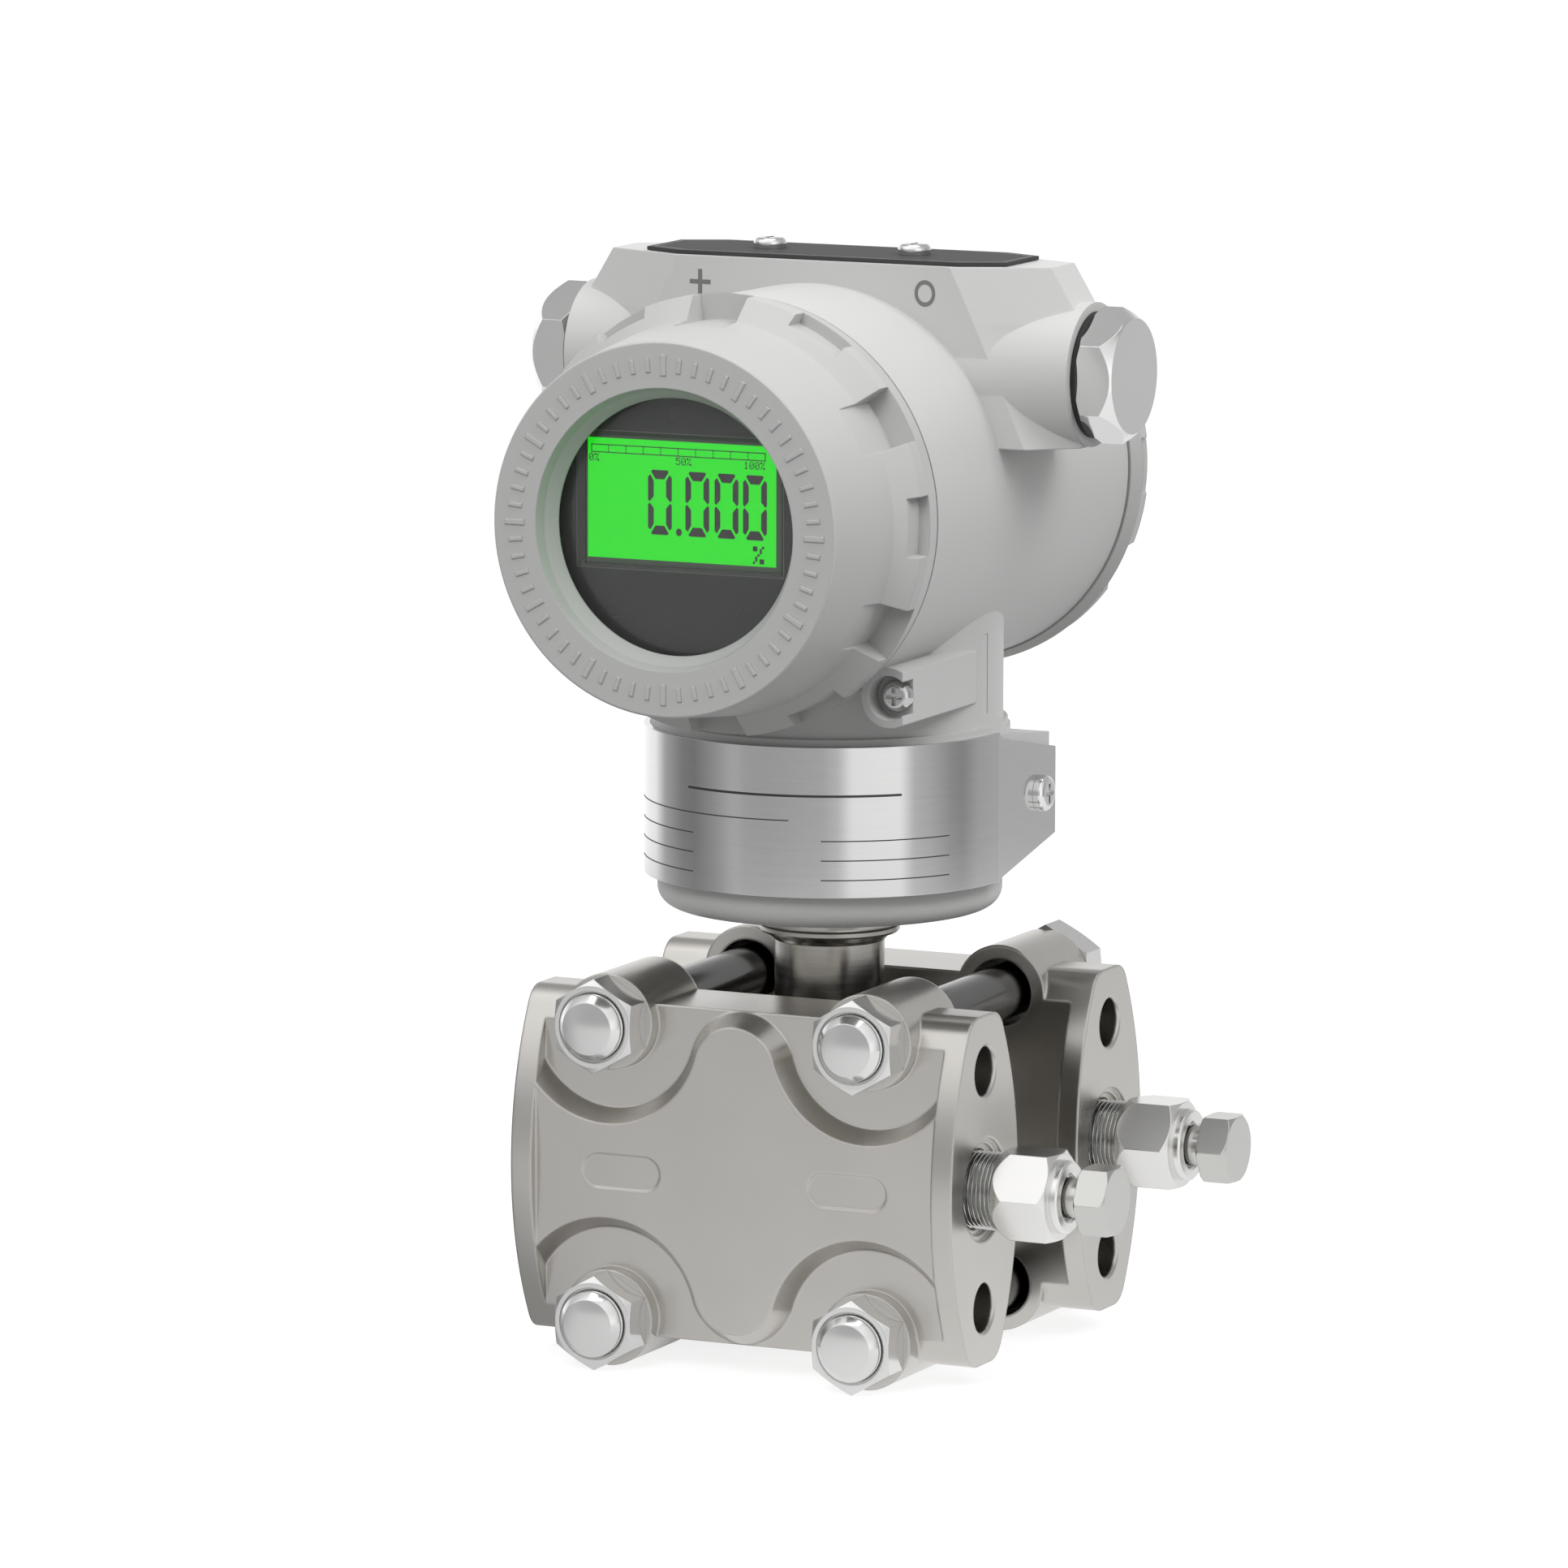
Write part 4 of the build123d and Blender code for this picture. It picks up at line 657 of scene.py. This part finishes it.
for word, side_y in (("front", -PORT_Y), ("rear", PORT_Y)):
    place = ((0, side_y, PORT_Z), (1, 0, 0), (0, 1, 0))
    valve = raw_hexagon(*place, VENT_HEX_X, VENT_HEX_END, VENT_AF, 0.0)
    rounding = raw_turned(*place, corner_cut(VENT_HEX_X, VENT_HEX_END, VENT_AF, *VENT_CORNERS))
    core = raw_turned(*place, VENT_CORE)
    bore = raw_turned(*place, VENT_BORE)
    hole_place = ((SIDE_HOLE_X, side_y, PORT_Z - 9), (0, 0, 1), (0, 1, 0))
    hole = raw_turned(*hole_place, [(0, SIDE_HOLE_R), (6, SIDE_HOLE_R)], 24)
    changes = [("INTERSECT", rounding), ("UNION", core), ("DIFFERENCE", bore), ("DIFFERENCE", hole)]
    valve = carved(f"vent_body_{word}", valve, changes, vent_steel_painted_highlight, "process_body")
    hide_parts(f"vent_valve_{word}")
    stem = raw_hexagon(*place, STEM_HEX_X, STEM_HEX_END, STEM_AF, 0.0)
    rounding = raw_turned(*place, corner_cut(STEM_HEX_X, STEM_HEX_END, STEM_AF, *STEM_CORNERS))
    rod = raw_turned(*place, [(STEM_START, 2.6), (STEM_START + 0.8, STEM_R), (STEM_HEX_X + 0.5, STEM_R)])
    changes = [("INTERSECT", rounding), ("UNION", rod)]
    stem = carved(f"vent_screw_{word}", stem, changes, stem_steel_painted_shade, f"vent_stem_{word}")
    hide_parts(f"vent_stem_{word}")

# rim under the neck where the tube meets the housing, and a black ring in the front cover's joint: the black seal
# there and painted shade of the gap


def ring_piece(name, origin, axis, across, profile, mat, body, steps=128):
    """closed ring turned about an axis, from distances along it and radii"""
    origin, axis, across = Vector(origin), Vector(axis), Vector(across)
    rows = len(profile)
    verts, faces = [], []
    for t, r in profile:
        for k in range(steps):
            verts.append(along(origin, axis, across, t, r, 2 * math.pi * k / steps))
    for i in range(rows):
        n = (i + 1) % rows
        for k in range(steps):
            j = (k + 1) % steps
            faces.append((i * steps + k, i * steps + j, n * steps + j, n * steps + k))
    obj = piece(name, verts, faces, mat, body, smooth=True)
    fix_normals(obj)
    obj.data.set_sharp_from_angle(angle=math.radians(30))
    return obj


NECK_BOTTOM = PORT_Z + 43.0
TUBE_R = 9.65
LIP = [
    (-0.06, TUBE_R + 0.03),
    (-0.06, 12.5),
    (-0.5, 12.65),
    (-2.9, 12.0),
    (-3.3, 12.05),
    (-3.6, 12.35),
    (-4.3, 12.35),
    (-4.7, 12.0),
    (-5.2, 10.6),
    (-5.7, 10.1),
    (-6.2, TUBE_R + 0.03),
]
ring_piece("neck_rim", (0, 0, NECK_BOTTOM), (0, 0, 1), (1, 0, 0), LIP, tube_steel, "process_body")

# painted shade: the black ring darkens the joint line of the front cover beyond the black seal behind it
FRONT_Y, FRONT_R = -36.5, 36.85
SEAM_IN, SEAM_OUT = FRONT_R - 0.5, FRONT_R - 0.1
SEAM = [(0.06, SEAM_IN), (0.06, SEAM_OUT), (0.42, SEAM_OUT), (0.42, SEAM_IN)]
ring_piece("cover_seam_painted_shade", (0, FRONT_Y, BARREL_Z), (0, -1, 0), (1, 0, 0), SEAM, seam_painted_shade, "housing")

# raised index marks round the face of the front cover
TICKS, TICK_R, TICK_RISE, TICK_SLOPE, TICK_SINK = 60, 27.9, 0.28, 0.16, 0.02
LONG_TICK, SHORT_TICK = (1.75, 0.42), (1.15, 0.30)
verts, faces = [], []
for i in range(TICKS):
    by = 2 * math.pi * i / TICKS
    half_long, half_wide = LONG_TICK if i % 5 == 0 else SHORT_TICK
    first = len(verts)
    for reach, grow in ((0.0, TICK_SLOPE), (TICK_RISE, 0.0)):
        for dr, dw in ((-1, -1), (1, -1), (1, 1), (-1, 1)):
            r = TICK_R + dr * (half_long + grow)
            w = dw * (half_wide + grow)
            x = r * math.cos(by) - w * math.sin(by)
            z = BARREL_Z + r * math.sin(by) + w * math.cos(by)
            verts.append((x, FACE_Y + TICK_SINK - reach, z))
    faces += [(first, first + 3, first + 2, first + 1), (first + 4, first + 5, first + 6, first + 7)]
    faces += [(first + k, first + (k + 1) % 4, first + 4 + (k + 1) % 4, first + 4 + k) for k in range(4)]
marks = piece("cover_marks", verts, faces, cover_paint, "front_cover")
fix_normals(marks)

# printed blank fields on the band and a border on the name plate

BAND_R, PRINT_THICK = 32.52, 0.02
HEADING, FIELD = 0.42, 0.2


def band_rule(from_deg, to_deg, z, wide):
    """curved printed line round the band"""
    steps = max(4, int((to_deg - from_deg) / 2))
    verts, faces = [], []
    for k in range(steps + 1):
        by = math.radians(from_deg + (to_deg - from_deg) * k / steps)
        for r in (BAND_R, BAND_R + PRINT_THICK):
            for dz in (-wide / 2, wide / 2):
                verts.append((r * math.sin(by), -r * math.cos(by), z + dz))
    for k in range(steps):
        a, b = 4 * k, 4 * k + 4
        faces += [(a, b, b + 1, a + 1), (a + 2, a + 3, b + 3, b + 2)]
        faces += [(a, a + 2, b + 2, b), (a + 1, b + 1, b + 3, a + 3)]
    faces += [(0, 1, 3, 2), (4 * steps, 4 * steps + 2, 4 * steps + 3, 4 * steps + 1)]
    return verts, faces


FIELD_ROWS = (93.4, 90.0, 86.6)
rules = [(-24, 47, 101.2, HEADING), (-62, 12, 96.9, FIELD)]
rules += [(-62, -22, z, FIELD) for z in FIELD_ROWS]
rules += [(22, 64, z, FIELD) for z in FIELD_ROWS]
band_verts, band_faces = [], []
for rule in rules:
    verts, faces = band_rule(*rule)
    first = len(band_verts)
    band_verts += verts
    band_faces += [tuple(first + v for v in face) for face in faces]
lines = piece("band_lines", band_verts, band_faces, print_black, "housing")
fix_normals(lines)

PLATE_TOP = BLOCK_TOP + 0.7
PLATE_CORNERS = [(34.3, 6.9), (26.8, 10.5)]
BORDER_OUT, BORDER_IN, BORDER_RISE = 0.9, 1.15, 0.03


def plate_loop(inset):
    """corners of the name plate moved in by a distance"""
    quarter = [(x - inset, y - inset) for x, y in PLATE_CORNERS]
    right = quarter + [(-x, y) for x, y in reversed(quarter)]
    return [(x, BLOCK_Y + y) for x, y in right] + [(-x, BLOCK_Y - y) for x, y in right]


verts, faces = [], []
for rise in (0.0, BORDER_RISE):
    for inset in (BORDER_OUT, BORDER_IN):
        verts += [(x, y, PLATE_TOP + rise) for x, y in plate_loop(inset)]
for k in range(8):
    j = (k + 1) % 8
    faces += [(k, j, 8 + j, 8 + k), (16 + k, 24 + k, 24 + j, 16 + j)]
    faces += [(k, 16 + k, 16 + j, j), (8 + k, 8 + j, 24 + j, 24 + k)]
border = piece("plate_border", verts, faces, plate_line, "housing")
fix_normals(border)

# screw threads of the vent valves
for word, side_y in (("front", -PORT_Y), ("rear", PORT_Y)):
    thread(
        f"vent_thread_{word}", (0, side_y, PORT_Z), (1, 0, 0), (0, 1, 0), VENT_START, VENT_HEX_X,
        VENT_ROOT, VENT_CREST, VENT_PITCH, thread_steel, "process_body",
    )

# plain marks above the two covered buttons: a plus and a ring


def stroke_ring(name, cx, cz, r_out, r_in, y, mat, steps=40):
    """flat ring drawn a little narrower than high"""
    verts, faces = [], []
    for depth in (0.0, MARK_DEEP):
        for r in (r_out, r_in):
            for k in range(steps):
                turn_by = 2 * math.pi * k / steps
                verts.append((cx + r * RING_NARROW * math.cos(turn_by), y + depth, cz + r * math.sin(turn_by)))
    for k in range(steps):
        j = (k + 1) % steps
        faces.append((k, j, steps + j, steps + k))
        faces.append((2 * steps + j, 2 * steps + k, 3 * steps + k, 3 * steps + j))
        faces.append((j, k, 2 * steps + k, 2 * steps + j))
        faces.append((steps + k, steps + j, 3 * steps + j, 3 * steps + k))
    obj = piece(name, verts, faces, mat, "housing")
    fix_normals(obj)
    return obj


MARK_X, MARK_Z, MARK_DEEP, MARK_FRONT_Y = 21.6, PORT_Z + 151.9, 0.05, BLOCK_FRONT_Y - 0.03
RING_R, RING_IN_R, RING_NARROW = 2.3, 1.55, 0.85
BAR_HALF, ARM_X, ARM_Z = 0.4, 2.0, 2.2
PLUS = [(-ARM_X, -BAR_HALF), (-BAR_HALF, -BAR_HALF), (-BAR_HALF, -ARM_Z)]
PLUS += [(BAR_HALF, -ARM_Z), (BAR_HALF, -BAR_HALF), (ARM_X, -BAR_HALF)]
PLUS += [(ARM_X, BAR_HALF), (BAR_HALF, BAR_HALF), (BAR_HALF, ARM_Z)]
PLUS += [(-BAR_HALF, ARM_Z), (-BAR_HALF, BAR_HALF), (-ARM_X, BAR_HALF)]
plus = [(-MARK_X + x, MARK_Z + z) for x, z in PLUS]
flat_marks("block_mark_left", [plus], MARK_FRONT_Y, MARK_DEEP, mark_grey, "housing")
stroke_ring("block_mark_right", MARK_X - 0.4, MARK_Z - 0.2, RING_R, RING_IN_R, MARK_FRONT_Y, mark_grey)

# camera of the photograph

cam_data = bpy.data.cameras.new("camera")
cam = bpy.data.objects.new("camera", cam_data)
scene.collection.objects.link(cam)
CAM_AZ, CAM_EL, CAM_ROLL = 0.4367321, 0.1489500, -0.0020104
FOCAL_PX, IMAGE_PX = 12291.45, 1932.0
cam_data.sensor_width = 36.0
cam_data.lens = FOCAL_PX / IMAGE_PX * 36.0
cam_data.clip_start, cam_data.clip_end = 0.1, 20.0
level_part = math.cos(CAM_EL)
forward = Vector((-math.sin(CAM_AZ) * level_part, math.cos(CAM_AZ) * level_part, -math.sin(CAM_EL)))
side = Vector((math.cos(CAM_AZ), math.sin(CAM_AZ), 0))
down = forward.cross(side)
right = side * math.cos(CAM_ROLL) + down * math.sin(CAM_ROLL)
below = down * math.cos(CAM_ROLL) - side * math.sin(CAM_ROLL)
turn = Matrix((right, -below, -forward)).transposed()
CAM_SPOT = (0.721981, -1.565724, 0.322741 + PORT_Z * MM)
cam.matrix_world = Matrix.Translation(CAM_SPOT) @ turn.to_4x4()
scene.camera = cam

# world: white where it is seen, a plain studio with a darker front side for gloss, soft sky for the rest

world = bpy.data.worlds.new("studio")
scene.world = world
world.use_nodes = True
tree = world.node_tree
tree.nodes.clear()


def node(tree, kind, **values):
    """new shader node with some of its settings"""
    made = tree.nodes.new(kind)
    for key, value in values.items():
        setattr(made, key, value)
    return made


def math_node(tree, operation, a, b):
    """arithmetic on two sockets or numbers"""
    made = node(tree, "ShaderNodeMath", operation=operation)
    for index, value in enumerate((a, b)):
        if isinstance(value, (int, float)):
            made.inputs[index].default_value = value
        else:
            tree.links.new(value, made.inputs[index])
    return made.outputs[0]


def span_node(tree, value, low, high):
    """smooth step from 0 to 1 between two levels"""
    made = node(tree, "ShaderNodeMapRange", interpolation_type="SMOOTHSTEP")
    made.inputs["From Min"].default_value = low
    made.inputs["From Max"].default_value = high
    tree.links.new(value, made.inputs["Value"])
    return made.outputs[0]


def mix_value(tree, factor, a, b):
    """blend of two levels"""
    made = node(tree, "ShaderNodeMix", data_type="FLOAT")
    for index, value in zip((0, 2, 3), (factor, a, b)):
        if isinstance(value, (int, float)):
            made.inputs[index].default_value = value
        else:
            tree.links.new(value, made.inputs[index])
    return made.outputs[0]


RAMP_TOP = 2.0


def azimuth_ramp(tree, value, stops):
    """levels by direction round the object, from angles in degrees"""
    made = node(tree, "ShaderNodeValToRGB")
    ramp = made.color_ramp
    for index, (angle, level) in enumerate(stops):
        spot = ramp.elements[index] if index < 2 else ramp.elements.new(1.0)
        spot.position = angle / 360 + 0.5
        scaled = level / RAMP_TOP
        spot.color = (scaled, scaled, scaled, 1)
    tree.links.new(value, made.inputs[0])
    return math_node(tree, "MULTIPLY", made.outputs[0], RAMP_TOP)


coord = node(tree, "ShaderNodeTexCoord")
split = node(tree, "ShaderNodeSeparateXYZ")
tree.links.new(coord.outputs["Generated"], split.inputs[0])
east, north, up = split.outputs
round_angle = math_node(tree, "ARCTAN2", east, math_node(tree, "MULTIPLY", north, -1.0))
round_part = math_node(tree, "MULTIPLY_ADD", round_angle, 1 / (2 * math.pi))
tree.nodes[-1].inputs[2].default_value = 0.5

GLOSS_STOPS = (
    (-180, 0.9), (-137, 1.2), (-113, 1.2), (-99, 0.52), (-80, 0.28), (-68, 0.25), (-52, 0.40), (-40, 0.56),
    (-34, 0.56), (-30, 0.50), (-17, 0.48), (-4, 0.5), (20, 0.55), (30, 0.7), (38, 1.15), (69, 1.2),
    (78, 0.65), (90, 0.55), (105, 0.38), (115, 0.33), (130, 0.5), (155, 0.55), (170, 0.8), (180, 0.9),
)
SKY_STOPS = (
    (-180, 1.0), (-120, 0.8), (-90, 0.65), (-45, 0.42), (0, 0.28), (45, 0.3), (90, 0.42), (135, 0.75), (180, 1.0),
)
UPPER_STOPS = (
    (-180, 0.5), (-150, 0.45), (-115, 0.5), (-85, 0.9), (-60, 1.3), (-25, 1.2), (5, 1.0), (50, 1.1),
    (110, 0.5), (150, 0.5), (180, 0.5),
)
gloss = azimuth_ramp(tree, round_part, GLOSS_STOPS)
upper = azimuth_ramp(tree, round_part, UPPER_STOPS)
upper = mix_value(tree, span_node(tree, up, 0.88, 0.98), upper, 0.7)
gloss = mix_value(tree, span_node(tree, up, 0.12, 0.55), gloss, upper)
gloss = mix_value(tree, span_node(tree, up, -0.35, -0.8), gloss, 0.75)
sky = azimuth_ramp(tree, round_part, SKY_STOPS)
sky = mix_value(tree, span_node(tree, up, 0.0, 0.9), sky, 0.8)
path = node(tree, "ShaderNodeLightPath")
seen = math_node(tree, "MAXIMUM", path.outputs["Is Camera Ray"], path.outputs["Is Transmission Ray"])
level = mix_value(tree, path.outputs["Is Glossy Ray"], sky, gloss)
level = mix_value(tree, seen, level, 1.0)
paper = node(tree, "ShaderNodeBackground")
paper.inputs["Color"].default_value = (1, 1, 1, 1)
tree.links.new(level, paper.inputs["Strength"])
world_out = node(tree, "ShaderNodeOutputWorld")
tree.links.new(paper.outputs[0], world_out.inputs[0])
world.cycles.sampling_method = "NONE"


def area(name, location, target, size, power):
    """soft lamp that the camera does not see"""
    data = bpy.data.lights.new(name, "AREA")
    data.shape = "RECTANGLE"
    data.size = data.size_y = size
    data.energy = power
    obj = bpy.data.objects.new(name, data)
    scene.collection.objects.link(obj)
    obj.location = location
    obj.rotation_mode = "QUATERNION"
    obj.rotation_quaternion = (Vector(target) - Vector(location)).to_track_quat("-Z", "Y")
    obj.visible_camera = False
    return obj


centre = (0, 0, 0.1)
area("top_light", (-0.1, 0.0, 1.4), centre, 0.9, 3.5)
front_light = area("front_light", (0.05, -1.3, 1.15), centre, 0.8, 11)
right_light = area("right_light", (1.0, 0.0, 1.1), centre, 0.7, 9)
for lamp in (front_light, right_light):
    lamp.visible_glossy = False

# floor: pale, white where it is seen in the open, with the object's shadow kept; gloss sees bright cards near it

bpy.ops.mesh.primitive_plane_add(size=8, location=(0, 0, 0))
floor = bpy.context.object
floor.name = "floor"
floor_mat, tree, bsdf, out = new_material("floor_pale")
coord = node(tree, "ShaderNodeTexCoord")
grain = node(tree, "ShaderNodeTexNoise")
grain.inputs["Scale"].default_value = 3.0
tree.links.new(coord.outputs["Object"], grain.inputs["Vector"])
floor_ramp = node(tree, "ShaderNodeValToRGB")
floor_ramp.color_ramp.elements[0].color = (0.285, 0.285, 0.285, 1)
floor_ramp.color_ramp.elements[1].color = (0.295, 0.295, 0.295, 1)
tree.links.new(grain.outputs["Fac"], floor_ramp.inputs[0])
tree.links.new(floor_ramp.outputs[0], bsdf.inputs["Base Color"])
bsdf.inputs["Roughness"].default_value = 0.9
bsdf.inputs["Specular IOR Level"].default_value = 0.0
path = node(tree, "ShaderNodeLightPath")
seen = math_node(tree, "MAXIMUM", path.outputs["Is Camera Ray"], path.outputs["Is Transmission Ray"])
glow_white = node(tree, "ShaderNodeEmission")
tree.links.new(math_node(tree, "MULTIPLY", seen, 0.81), glow_white.inputs["Strength"])
both = node(tree, "ShaderNodeAddShader")
tree.links.new(bsdf.outputs[0], both.inputs[0])
tree.links.new(glow_white.outputs[0], both.inputs[1])
split = node(tree, "ShaderNodeSeparateXYZ")
tree.links.new(coord.outputs["Object"], split.inputs[0])
floor_turn = math_node(tree, "ARCTAN2", split.outputs[0], math_node(tree, "MULTIPLY", split.outputs[1], -1.0))
floor_part = math_node(tree, "MULTIPLY_ADD", floor_turn, 1 / (2 * math.pi))
tree.nodes[-1].inputs[2].default_value = 0.5
FLOOR_STOPS = (
    (-180, 0.8), (-120, 0.85), (-90, 0.6), (-60, 0.36), (-44, 0.42), (-32, 0.74), (-10, 0.82),
    (20, 0.9), (60, 1.0), (120, 0.95), (150, 0.85), (180, 0.95),
)
near_level = azimuth_ramp(tree, floor_part, FLOOR_STOPS)
near_glow = node(tree, "ShaderNodeEmission")
tree.links.new(near_level, near_glow.inputs["Strength"])
away = node(tree, "ShaderNodeVectorMath", operation="LENGTH")
tree.links.new(coord.outputs["Object"], away.inputs[0])
through = node(tree, "ShaderNodeBsdfTransparent")
gloss_side = node(tree, "ShaderNodeMixShader")
tree.links.new(span_node(tree, away.outputs["Value"], 0.42, 0.62), gloss_side.inputs[0])
tree.links.new(near_glow.outputs[0], gloss_side.inputs[1])
tree.links.new(through.outputs[0], gloss_side.inputs[2])
pick = node(tree, "ShaderNodeMixShader")
tree.links.new(path.outputs["Is Glossy Ray"], pick.inputs[0])
tree.links.new(both.outputs[0], pick.inputs[1])
tree.links.new(gloss_side.outputs[0], pick.inputs[2])
tree.links.new(pick.outputs[0], out.inputs[0])
floor.data.materials.append(floor_mat)
